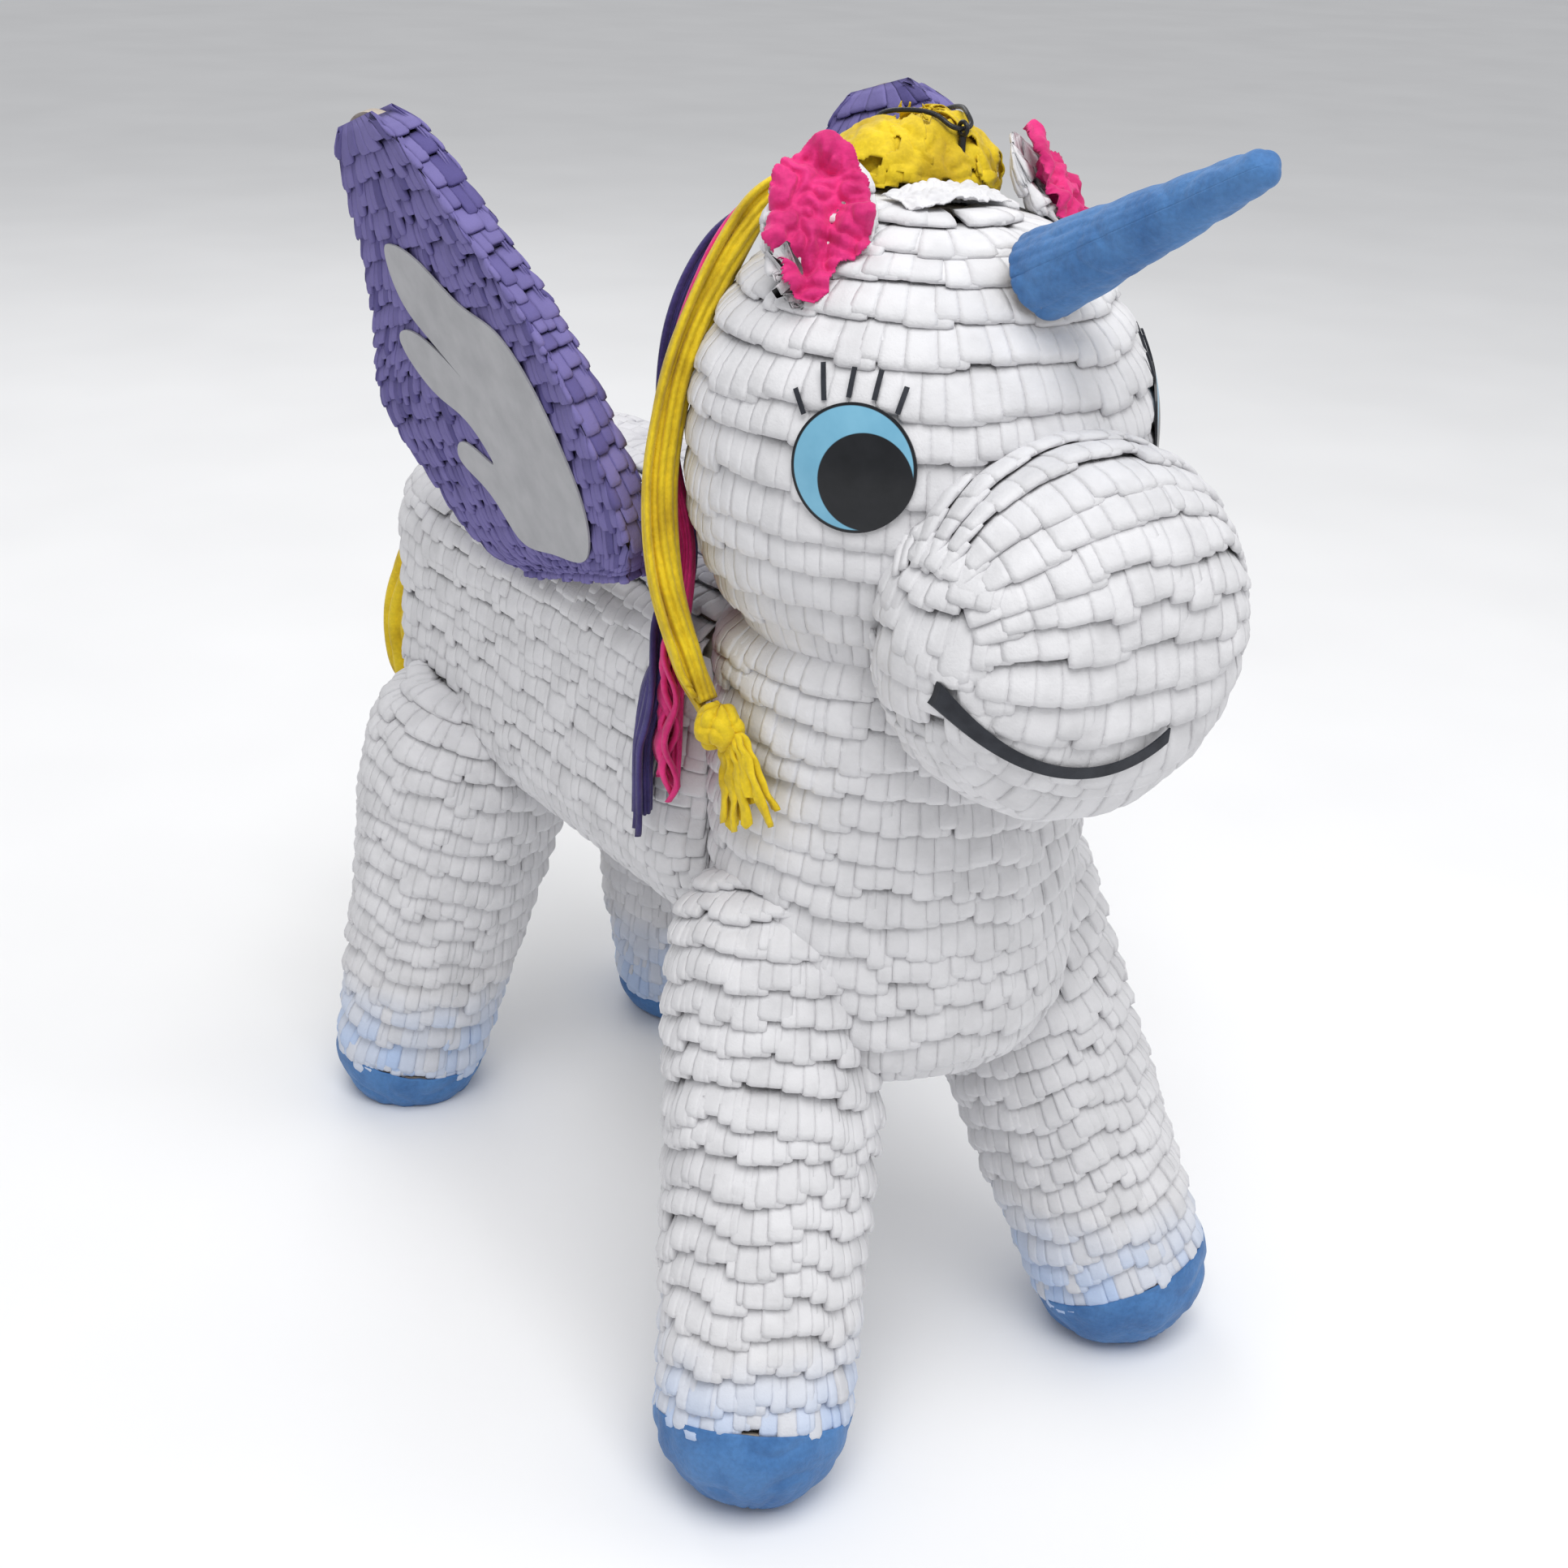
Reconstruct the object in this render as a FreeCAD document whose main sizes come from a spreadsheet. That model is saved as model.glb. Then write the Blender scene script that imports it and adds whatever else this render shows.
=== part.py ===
# Paper-covered pinata: a small winged unicorn standing on four splayed legs.
#
# Frame, in millimetres: +Z up, the floor at Z = 0, the animal faces -Y and its right side is -X.
# The origin is on the floor, under the middle of the whole figure.
#
# Every hollow region (head, muzzle, chest, torso, legs) is three nested solids: the outside of
# the tissue fringe, the outside of the card shell, and the space inside the card.
import math
import os
import re

import FreeCAD
import Part

DOC = FreeCAD.newDocument("pinata")
DIMS = DOC.addObject("Spreadsheet::Sheet", "dims")

SIZES = {
    # layers, counted from the outside
    "fringe": 8, "card": 4, "crepe": 1.5, "paper": 1, "gap": 0.3,
    # head, muzzle, chest and torso
    "head_y": -162, "head_z": 482, "head_radius": 104.5, "head_stretch": 19,
    "muzzle_y": -266, "muzzle_z": 431, "muzzle_radius": 83.5, "muzzle_deep": 60,
    "muzzle_round": 56,
    "chest_y": -160, "chest_low": 186, "chest_top": 425, "chest_radius": 89, "chest_round": 45,
    "torso_front": -135, "torso_back": 235, "torso_z": 315, "torso_wide": 184, "torso_high": 190,
    "torso_round": 55, "neck_bore": 42,
    # legs and hooves
    "front_foot_x": -116, "front_foot_y": -226, "front_ankle_z": 40, "front_ankle": 47,
    "front_hip": 56, "front_length": 217, "front_lean": 23, "front_heading": 50.7,
    "hind_foot_x": -100, "hind_foot_y": 184, "hind_ankle_z": 31, "hind_ankle": 45.5,
    "hind_hip": 62, "hind_length": 205, "hind_lean": 12.8, "hind_heading": -48.6,
    # horn
    "horn_out": 6.2, "horn_lift": 46.6, "horn_base": 19.5, "horn_tip": 8, "horn_length": 125.5,
    "horn_rise": 27.5,
    # ears
    "ear_out": 7.6, "ear_lift": 55.6, "ear_swing": 5.4, "ear_wide": 24, "ear_thick": 9,
    "ear_long": 40, "ear_dish": 7,
    # wings
    "wing_sunk": 4, "wing_gap": 57.5, "wing_rise": 70, "wing_length": 228, "wing_width": 264,
    "wing_splay": 16.7, "wing_card": 5, "wing_fringe": 7, "wing_edge": 4,
    # face
    "eye_bearing": 52.7, "eye_rise": 8.6, "eye_radius": 26.5, "lash_wide": 2,
    "smile_x": -25.6, "smile_rise": 24, "smile_radius": 67.6, "smile_wide": 5.5,
    "smile_middle": -36, "smile_half": 45.5,
    # mane, topknot and tail
    "knot_x": 14, "knot_out": 1.4, "knot_back": 18.4, "knot_wide": 42, "knot_deep": 30,
    "knot_high": 29, "strand_wide": 20, "strand_thick": 12, "tassel_radius": 12,
    "tassel_drop": 59, "tail_radius": 30, "tie_out": 27, "tie_rise": 23,
    # fill slot and its flap, both measured from the middle of the crown
    "slot_wide": 48, "slot_front": 31, "slot_back": 6, "flap_wide": 56, "flap_front": 26,
    "flap_back": 2, "flap_thick": 1.6, "flap_lift": 0.5,
    # hanging loop, its eye, stem and anchor
    "loop_x": 22, "loop_fore": 23.5, "loop_sunk": 4, "wire": 1.1, "eye_ring": 2.8, "eye_wire": 1,
    "stem_radius": 1.6, "stem_play": 0.5, "anchor_depth": 34, "anchor_radius": 4,
    "anchor_long": 50, "loop_long": 62, "loop_wide": 34, "loop_drop": 14,
}
# Places that follow from the sizes, so that a piece moves with whatever it is seated on.
PLACES = {
    "crown_z": "head_z + head_stretch / 2",
    "horn_y": "head_y - ( head_radius + horn_out ) * cos(horn_lift * 1 deg)",
    "horn_z": "crown_z + ( head_radius + horn_out ) * sin(horn_lift * 1 deg)",
    "ear_reach": "( head_radius + ear_out ) * cos(ear_lift * 1 deg)",
    "ear_x": "-ear_reach * cos(ear_swing * 1 deg)",
    "ear_y": "head_y - ear_reach * sin(ear_swing * 1 deg)",
    "ear_z": "crown_z + ( head_radius + ear_out ) * sin(ear_lift * 1 deg)",
    "wing_x": "wing_sunk - torso_wide / 2",
    "wing_y": "head_y + head_radius + wing_gap",
    "wing_z": "torso_z + wing_rise",
    "smile_z": "muzzle_z + smile_rise",
    "knot_y": "head_y + ( head_radius + knot_out ) * sin(knot_back * 1 deg)",
    "knot_z": "crown_z + ( head_radius + knot_out ) * cos(knot_back * 1 deg)",
    "tassel_x": "-chest_radius - tassel_radius - gap",
    "tassel_z": "chest_top - tassel_drop",
    "tie_y": "torso_back + tie_out",
    "tie_z": "torso_z + tie_rise",
    "loop_y": "knot_y - loop_fore",
    "loop_z": "knot_z + knot_high - loop_sunk",
    "anchor_z": "crown_z + head_radius - anchor_depth",
}
CELLS = {**SIZES, **{alias: "=" + formula for alias, formula in PLACES.items()}}
for row, (alias, content) in enumerate(CELLS.items(), start=1):
    DIMS.set(f"A{row}", alias)
    DIMS.setAlias(f"B{row}", alias)
    DIMS.set(f"B{row}", str(content))
DOC.recompute()

NODES = []


def cell(name):
    """The present value of one size, for the shapes that Part's own functions make."""
    return float(getattr(DIMS, name))


def names(text):
    """An expression with each size name written as a reference to the sheet."""
    return re.sub(r"[a-z_]+", lambda word: "dims." * (word[0] in CELLS) + word[0], text)


def bind(item, **sizes):
    for prop, text in sizes.items():
        item.setExpression(prop, names(str(text)))
    return item


def place(item, x, y, z, axis=(0, 0, 1), angle=0):
    """Put an object at a point and turn it, all from expressions."""
    item.setExpression("Placement", names(
        f"create(<<placement>>; create(<<vector>>; {x}; {y}; {z}); "
        f"create(<<rotation>>; create(<<vector>>; {axis[0]}; {axis[1]}; {axis[2]}); {angle}))"))
    return item


def node(item, label):
    """Name a finished piece: it is written to a file of this name."""
    item.Label = label
    NODES.append(item)
    return item


def cut(name, base, *tools):
    """Take the tools away from the base, one after another."""
    for count, tool in enumerate(tools):
        step = DOC.addObject("Part::Cut", f"{name}_{count}")
        step.Base = base
        step.Tool = tool
        base = step
    return base


def fuse(name, *parts):
    result = DOC.addObject("Part::MultiFuse", name)
    result.Shapes = list(parts)
    return result


def common(name, *parts):
    result = DOC.addObject("Part::MultiCommon", name)
    result.Shapes = list(parts)
    return result


def mirrored(name, source):
    result = DOC.addObject("Part::Mirroring", name)
    result.Source = source
    result.Normal = (1, 0, 0)
    return result


def pair(source, label):
    """A piece on the animal's right side, and its mirror image on the left."""
    node(source, label + "_right")
    node(mirrored(label + "_mirrored", source), label + "_left")


def ball(name, x, y, z, wide, deep, high):
    item = DOC.addObject("Part::Ellipsoid", name)
    bind(item, Radius1=high, Radius2=wide, Radius3=deep)
    return place(item, x, y, z)


def block(name, x, y, z, wide, deep, high):
    """A box centred on x, with its low corner at y and z."""
    item = DOC.addObject("Part::Box", name)
    bind(item, Length=wide, Width=deep, Height=high)
    return place(item, f"{x} - ( {wide} ) / 2", y, z)


def rod(name, x, y, z, radius, length, axis=(0, 0, 1), angle=0):
    item = DOC.addObject("Part::Cylinder", name)
    bind(item, Radius=radius, Height=length)
    return place(item, x, y, z, axis, angle)


# ---------------------------------------------------------------- nested regions
FRINGE, CARD, SPACE = "outside", "core", "hollow"
INSET = {FRINGE: "0", CARD: "fringe", SPACE: "fringe + card"}


def capsule(name, y, z, radius, stretch):
    """A ball stretched upwards: two spheres and the cylinder between their middles."""
    tube = rod(name + "_tube", "0", y, f"{z} - {stretch} / 2", radius, stretch)
    ends = []
    for side in "-+":
        end = DOC.addObject("Part::Sphere", name + "_end")
        bind(end, Radius=radius)
        ends.append(place(end, "0", y, f"{z} {side} {stretch} / 2"))
    return fuse(name, tube, *ends)


def rounded(name, kind, radius, **sizes):
    """A PartDesign box or cylinder with every sharp edge filleted."""
    body = DOC.addObject("PartDesign::Body", name)
    core = body.newObject(kind, name + "_core")
    bind(core, **sizes)
    DOC.recompute()
    sharp = [f"Edge{count}" for count, edge in enumerate(core.Shape.Edges, start=1)
             if kind == "PartDesign::AdditiveBox" or edge.isClosed()]
    soft = body.newObject("PartDesign::Fillet", name + "_fillet")
    soft.Base = (core, sharp)
    bind(soft, Radius=radius)
    return body


def head_region(layer, grow="0"):
    return capsule(f"head_{layer}", "head_y", "head_z",
                   f"head_radius - ( {INSET.get(layer, grow)} )", "head_stretch")


def muzzle_region(layer, grow="0"):
    inset = INSET.get(layer, grow)
    drum = rounded(f"muzzle_{layer}", "PartDesign::AdditiveCylinder",
                   f"muzzle_round - ( {inset} )", Radius=f"muzzle_radius - ( {inset} )",
                   Height=f"2 * muzzle_deep - 2 * ( {inset} )")
    return place(drum, "0", f"muzzle_y - muzzle_deep + {inset}", "muzzle_z", (1, 0, 0), "-90")


def chest_region(layer):
    inset = INSET[layer]
    drum = rounded("chest_" + layer, "PartDesign::AdditiveCylinder",
                   f"chest_round - ( {inset} )", Radius=f"chest_radius - ( {inset} )",
                   Height=f"chest_top - chest_low - 2 * ( {inset} )")
    return place(drum, "0", "chest_y", f"chest_low + {inset}")


def torso_region(layer):
    inset = INSET[layer]
    barrel = rounded("torso_" + layer, "PartDesign::AdditiveBox",
                     f"torso_round - ( {inset} )", Length=f"torso_wide - 2 * ( {inset} )",
                     Width=f"torso_back - torso_front - 2 * ( {inset} )",
                     Height=f"torso_high - 2 * ( {inset} )")
    return place(barrel, f"( {inset} ) - torso_wide / 2", f"torso_front + {inset}",
                 f"torso_z - torso_high / 2 + {inset}")


HEAD = {layer: head_region(layer) for layer in INSET}
MUZZLE = {layer: muzzle_region(layer) for layer in INSET}
CHEST = {layer: chest_region(layer) for layer in INSET}
TORSO = {layer: torso_region(layer) for layer in INSET}


# ---------------------------------------------------------------- legs and hooves
def leg_region(end, layer):
    """A tapered leg with a round hip, built upright and then leaned inwards."""
    inset = INSET[layer]
    tube = DOC.addObject("Part::Cone", f"{end}_leg_{layer}_tube")
    bind(tube, Radius1=f"{end}_ankle - ( {inset} )", Radius2=f"{end}_hip - ( {inset} )",
         Height=f"{end}_length")
    hip = DOC.addObject("Part::Sphere", f"{end}_leg_{layer}_hip")
    bind(hip, Radius=f"{end}_hip - ( {inset} )")
    place(hip, "0", "0", f"{end}_length")
    return lean(fuse(f"{end}_leg_{layer}", tube, hip), end)


def lean(item, end):
    return place(item, f"{end}_foot_x", f"{end}_foot_y", f"{end}_ankle_z",
                 (f"-sin({end}_heading * 1 deg)", f"cos({end}_heading * 1 deg)", "0"),
                 f"{end}_lean")


def hoof_half(end, name, inset):
    """The lower half of a ball, flat where it stands above the floor by the inset."""
    half = DOC.addObject("Part::Sphere", f"{end}_{name}_half")
    bind(half, Radius=f"{end}_ankle - ( {inset} )")
    half.Angle1 = -90
    half.Angle2 = 0
    lean(half, end)
    floor = block(f"{end}_{name}_floor", f"{end}_foot_x", f"{end}_foot_y - 2 * {end}_ankle",
                  f"{inset} - 3 * {end}_ankle", f"4 * {end}_ankle", f"4 * {end}_ankle",
                  f"3 * {end}_ankle")
    return cut(f"{end}_{name}", half, floor)


LEGS = {end: {layer: leg_region(end, layer) for layer in INSET} for end in ("front", "hind")}
for end, leg in LEGS.items():
    trunk = (CHEST, TORSO) if end == "front" else (TORSO,)
    tube = cut(f"{end}_tube", leg[CARD], leg[SPACE], *[region[CARD] for region in trunk])
    pair(tube, f"{end}_leg_shell")
    sleeve = cut(f"{end}_sleeve", leg[FRINGE], leg[CARD], *[region[FRINGE] for region in trunk])
    pair(sleeve, f"{end}_leg_fringe")
    wrap = hoof_half(end, "hoof_wrap", "0")
    plug = hoof_half(end, "hoof_plug", "crepe")
    hollow = hoof_half(end, "hoof_hollow", "crepe + card")
    pair(cut(f"{end}_hoof_crepe_solid", wrap, plug), f"{end}_hoof_crepe")
    pair(cut(f"{end}_hoof_cap_solid", plug, hollow), f"{end}_hoof_cap")


# ---------------------------------------------------------------- horn
def horn_layer(name, inset):
    """A cone with a round tip, lying along +Z until it is tilted forward."""
    cone = DOC.addObject("Part::Cone", name + "_cone")
    bind(cone, Radius1=f"horn_base - ( {inset} )", Radius2=f"horn_tip - ( {inset} )",
         Height="horn_length")
    tip = DOC.addObject("Part::Sphere", name + "_tip")
    bind(tip, Radius=f"horn_tip - ( {inset} )")
    place(tip, "0", "0", "horn_length")
    return place(fuse(name, cone, tip), "0", "horn_y", "horn_z", (1, 0, 0),
                 "90 - horn_rise")


HORN_OUTER = horn_layer("horn_outer", "0")
HORN_CARD = horn_layer("horn_card", "crepe")
HORN_SPACE = horn_layer("horn_space", "crepe + card / 2")
node(cut("horn_crepe_solid", HORN_OUTER, HORN_CARD, HEAD[CARD]), "horn_crepe")
node(cut("horn_cone_solid", HORN_CARD, HORN_SPACE, HEAD[CARD]), "horn_cone")

# ---------------------------------------------------------------- openings in the crown
SLOT = block("slot", "0", "head_y - slot_front", "head_z", "slot_wide",
             "slot_front - slot_back", "head_radius + head_stretch")
STEM_HOLE = rod("stem_hole", "loop_x", "loop_y", "anchor_z", "stem_radius + stem_play",
                "loop_z - anchor_z + wire")
NECK_BORE = rod("neck_bore_tool", "0", "chest_y", "chest_top - 2 * chest_round",
                "neck_bore", "2 * chest_round")
CHEST_BORE = rod("chest_bore_tool", "0", "chest_y", "torso_z", "neck_bore",
                 "chest_radius + card", (1, 0, 0), "-90")

# ---------------------------------------------------------------- hollow card shells
node(cut("head_card", HEAD[CARD], HEAD[SPACE], SLOT, STEM_HOLE, NECK_BORE), "head_shell")
node(cut("muzzle_card", MUZZLE[CARD], MUZZLE[SPACE], HEAD[CARD], CHEST[CARD]), "muzzle_shell")
node(cut("chest_card", CHEST[CARD], CHEST[SPACE], HEAD[CARD], CHEST_BORE), "chest_shell")
node(cut("torso_card", TORSO[CARD], TORSO[SPACE], CHEST[CARD], HEAD[CARD]), "torso_shell")

# ---------------------------------------------------------------- wings
WING_POINTS = [(-0.35, 0.28), (-0.32, 0.41), (-0.27, 0.55), (-0.17, 0.70), (-0.03, 0.84),
               (0.08, 0.95), (0.18, 1.00), (0.29, 1.00), (0.39, 0.93), (0.42, 0.78),
               (0.46, 0.58), (0.53, 0.42), (0.59, 0.27), (0.53, 0.17), (0.44, 0.09),
               (0.35, 0.01), (0.16, 0.00), (-0.06, 0.03), (-0.22, 0.08), (-0.32, 0.17)]
FEATHER_POINTS = [(0.28, 0.73), (0.15, 0.71), (0.03, 0.65), (-0.09, 0.62), (-0.17, 0.53),
                  (-0.22, 0.40), (-0.24, 0.26), (-0.19, 0.14), (-0.05, 0.10), (0.09, 0.09),
                  (0.17, 0.18), (0.26, 0.24), (0.23, 0.28), (0.10, 0.27), (0.14, 0.33),
                  (0.29, 0.39), (0.37, 0.49), (0.29, 0.525), (0.12, 0.46), (0.21, 0.52),
                  (0.31, 0.63)]


def leaf(points, low, thick, grow=0.0):
    """A flat plate in the YZ plane with a smooth outline, grown outwards by a margin."""
    corners = [FreeCAD.Vector(low, y * cell("wing_width"), z * cell("wing_length"))
               for y, z in points]
    middle = sum(corners, FreeCAD.Vector()) * (1 / len(corners))
    grown = [corner + (corner - middle).normalize() * grow for corner in corners]
    curve = Part.BSplineCurve()
    curve.interpolate(grown, PeriodicFlag=True)
    face = Part.Face(Part.Wire(curve.toShape()))
    return face.extrude(FreeCAD.Vector(thick, 0, 0))


def wing_piece(name, shape):
    item = DOC.addObject("Part::Feature", name)
    item.Shape = shape
    return place(item, "wing_x", "wing_y", "wing_z", (0, 1, 0), "-wing_splay")


HALF_CARD = cell("wing_card") / 2
HALF_WING = HALF_CARD + cell("wing_fringe")
WING_CARD = wing_piece("wing_plate", leaf(WING_POINTS, -HALF_CARD, 2 * HALF_CARD))
WING_OUTER = wing_piece("wing_cover", leaf(WING_POINTS, -HALF_WING, 2 * HALF_WING,
                                           cell("wing_edge")))
FEATHER = wing_piece("feather_plate", leaf(FEATHER_POINTS, -HALF_WING - cell("paper"),
                                           cell("paper")))
pair(cut("wing_card_solid", WING_CARD, TORSO[CARD], HEAD[FRINGE]), "wing_card")
pair(cut("wing_fringe_solid", WING_OUTER, WING_CARD, TORSO[FRINGE], HEAD[FRINGE]),
     "wing_fringe")
pair(FEATHER, "wing_feather")
WING_CARD_LEFT = mirrored("wing_plate_mirrored", WING_CARD)

# ---------------------------------------------------------------- tissue fringe on the card
FRONT_LEFT = mirrored("front_leg_mirrored", LEGS["front"][CARD])
HIND_LEFT = mirrored("hind_leg_mirrored", LEGS["hind"][CARD])
node(cut("head_skin", HEAD[FRINGE], HEAD[CARD], MUZZLE[CARD], CHEST[CARD], TORSO[CARD],
         HORN_OUTER, SLOT, STEM_HOLE), "head_fringe")
node(cut("muzzle_skin", MUZZLE[FRINGE], MUZZLE[CARD], HEAD[FRINGE], CHEST[FRINGE], HORN_OUTER),
     "muzzle_fringe")
node(cut("chest_skin", CHEST[FRINGE], CHEST[CARD], HEAD[FRINGE], MUZZLE[CARD], TORSO[CARD],
         LEGS["front"][CARD], FRONT_LEFT), "chest_fringe")
node(cut("torso_skin", TORSO[FRINGE], TORSO[CARD], CHEST[FRINGE], HEAD[FRINGE],
         LEGS["front"][CARD], FRONT_LEFT, LEGS["hind"][CARD], HIND_LEFT, WING_CARD,
         WING_CARD_LEFT), "torso_fringe")


# ---------------------------------------------------------------- ears
EAR_ALONG = FreeCAD.Vector(28, 32, 60).normalize()
EAR_FACE = FreeCAD.Vector(-48, -62, 55).normalize()
EAR_TURN = FreeCAD.Rotation(EAR_FACE.cross(EAR_ALONG) * -1, EAR_FACE * -1, EAR_ALONG, "ZXY")


def ear_ball(name, forward, trim):
    """A flattened ball that leans back on the crown, moved forward along the ear's face."""
    axis, angle = EAR_TURN.Axis, EAR_TURN.Angle
    item = DOC.addObject("Part::Ellipsoid", name)
    bind(item, Radius1=f"ear_long - {trim}", Radius2=f"ear_wide - {trim}",
         Radius3=f"ear_thick - {trim}")
    centre = [f"ear_{letter} + {part:.4f} * ( {forward} )"
              for letter, part in zip("xyz", EAR_FACE)]
    return place(item, *centre, tuple(axis), math.degrees(angle))


EAR_OUTER = ear_ball("ear_outer", "0", "0")
EAR_DISH = ear_ball("ear_dish_tool", "ear_dish", "1")
EAR_FRONT = ear_ball("ear_front_tool", "ear_dish + 2 * crepe", "1")
pair(cut("ear_card_solid", EAR_OUTER, EAR_DISH, HEAD[FRINGE]), "ear_card")
pair(cut("ear_lining_solid", common("ear_bowl", EAR_OUTER, EAR_DISH), EAR_FRONT, HEAD[FRINGE]),
     "ear_lining")


# ---------------------------------------------------------------- face
def skin(region, name, low, high):
    """A thin shell just outside the fringe of the head or the muzzle."""
    return cut(name, region(name + "_top", f"-( {high} )"), region(name + "_low", f"-( {low} )"))


def outward(reach):
    """Where a ray from the head's middle at the eye's bearing meets the head, plus a reach."""
    flat = "cos(eye_rise * 1 deg)"
    return (f"-( head_radius + {reach} ) * {flat} * sin(eye_bearing * 1 deg)",
            f"head_y - ( head_radius + {reach} ) * {flat} * cos(eye_bearing * 1 deg)",
            f"head_z + ( head_radius + head_stretch / 2 + {reach} ) * sin(eye_rise * 1 deg)")


EYE_TURN = (("cos(eye_bearing * 1 deg)", "-sin(eye_bearing * 1 deg)", "0"),
            "90 - eye_rise")
EYE_PUNCH = rod("eye_punch", *outward("-eye_radius / 2"), "eye_radius", "eye_radius", *EYE_TURN)
EYE = common("eye_solid", EYE_PUNCH, skin(head_region, "eye_layer", "gap", "gap + paper"))
pair(EYE, "eye_print")

# Each lash: its bearing round the eye and its distance from the middle, as a share of the eye's
# radius, then its tilt and its length.
LASHES = ((-46.7, 1.32, -29, 11), (-25.9, 1.385, -11, 15), (-6.7, 1.29, 3, 12),
          (11.6, 1.31, 6, 12), (31.1, 1.28, 12, 11))


def lash_strip(count, bearing, share, tilt, length):
    """A deep strip that points into the head beside the eye, trimmed later to the skin."""
    face = FreeCAD.Rotation(FreeCAD.Vector(0, 0, 1), -cell("eye_bearing")).multiply(
        FreeCAD.Rotation(FreeCAD.Vector(1, 0, 0), -cell("eye_rise")))
    turn = face.multiply(FreeCAD.Rotation(FreeCAD.Vector(0, 1, 0), tilt))
    wide, deep = cell("lash_wide"), cell("eye_radius")
    out = FreeCAD.Rotation(FreeCAD.Vector(0, 1, 0), bearing).multVec(
        FreeCAD.Vector(0, 0, share * cell("eye_radius")))
    corner = face.multVec(out) - turn.multVec(
        FreeCAD.Vector(wide / 2, deep / 3, length / 2))
    strip = DOC.addObject("Part::Box", f"lash_{count}")
    bind(strip, Length="lash_wide", Width="eye_radius", Height=length)
    where = [f"{start} + {shift:.4f}" for start, shift in zip(outward("0"), corner)]
    return place(strip, *where, tuple(turn.Axis), math.degrees(turn.Angle))


LASH_SET = common("lash_solid", fuse("lash_strips", *[lash_strip(count, *lash)
                                                      for count, lash in enumerate(LASHES)]),
                  skin(head_region, "lash_layer", "gap", "gap + paper"))
pair(LASH_SET, "eyelashes")

SMILE_OUTER = rod("smile_outer", "smile_x", "muzzle_y - 2 * muzzle_deep", "smile_z", "smile_radius",
                  "2 * muzzle_deep", (1, 0, 0), "-90")
SMILE_INNER = rod("smile_inner", "smile_x", "muzzle_y - 3 * muzzle_deep", "smile_z",
                  "smile_radius - smile_wide", "4 * muzzle_deep", (1, 0, 0), "-90")
SMILE_SPAN = block("smile_span", "smile_middle", "muzzle_y - 2 * muzzle_deep",
                   "smile_z - 2 * smile_radius", "2 * smile_half", "2 * muzzle_deep",
                   "2 * smile_radius")
SMILE = common("smile_band", cut("smile_ring", SMILE_OUTER, SMILE_INNER), SMILE_SPAN,
               skin(muzzle_region, "smile_layer", "gap", "gap + paper"))
node(cut("smile_solid", SMILE, HEAD[FRINGE], CHEST[FRINGE]), "smile_strip")

# ---------------------------------------------------------------- topknot and hanging loop
STEM = rod("stem", "loop_x", "loop_y", "anchor_z", "stem_radius",
           "loop_z - anchor_z - eye_ring - eye_wire / 2")
RING = DOC.addObject("Part::Torus", "ring")
bind(RING, Radius1="eye_ring", Radius2="eye_wire")
place(RING, "loop_x", "loop_y", "loop_z", (0, 1, 0), "90")
ANCHOR = rod("anchor", "loop_x - anchor_long / 2", "loop_y", "anchor_z", "anchor_radius",
             "anchor_long", (0, 1, 0), "90")
node(cut("anchor_solid", ANCHOR, STEM, STEM_HOLE), "anchor_dowel")
node(fuse("wire_solid", STEM, RING), "wire_eye")
TOPKNOT = ball("topknot_ball", "knot_x", "knot_y", "knot_z", "knot_wide", "knot_deep",
               "knot_high")
KNOT_ROOM = rod("knot_room", "loop_x - loop_wide / 2", "loop_y", "loop_z",
                "eye_ring + eye_wire + stem_play", "loop_wide", (0, 1, 0), "90")
node(cut("topknot_solid", TOPKNOT, HEAD[FRINGE], STEM_HOLE, KNOT_ROOM), "topknot")


# ---------------------------------------------------------------- soft strands and tail
def route_loft(name, route, middle, wide=cell("strand_wide"), thick=cell("strand_thick")):
    """A soft closed solid along a route, its flat side turned away from a middle point.

    Each route entry is a point and the share of the full section there."""
    points = [FreeCAD.Vector(*point) for point, share in route]
    hub = FreeCAD.Vector(*middle)
    rings = []
    for count, (point, (_, share)) in enumerate(zip(points, route)):
        along = points[min(count + 1, len(points) - 1)] - points[max(count - 1, 0)]
        along.normalize()
        out = point - hub
        out = (out - along * out.dot(along)).normalize()
        side = along.cross(out)
        ring = Part.Ellipse(point + side * (wide / 2 * share), point + out * (thick / 2 * share),
                            point)
        rings.append(Part.Wire(ring.toShape()))
    item = DOC.addObject("Part::Feature", name)
    item.Shape = Part.makeLoft(rings, True)
    return item


def beside_head(x, y, z, share):
    """A route entry: offsets from the head's middle in multiples of its radius."""
    radius = cell("head_radius")
    return (x * radius, cell("head_y") + y * radius, cell("head_z") + z * radius), share


def beside_chest(out, y, down, share):
    """A route entry: multiples of the chest's radius, and a distance below the chest's top."""
    radius = cell("chest_radius")
    return (-out * radius, cell("chest_y") + y * radius, cell("chest_top") - down), share


def beside_torso(out, behind, down, share):
    """A route entry: off the torso's side, behind its front, and below the chest's top."""
    return (-cell("torso_wide") / 2 - out, cell("torso_front") + behind,
            cell("chest_top") - down), share


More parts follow.
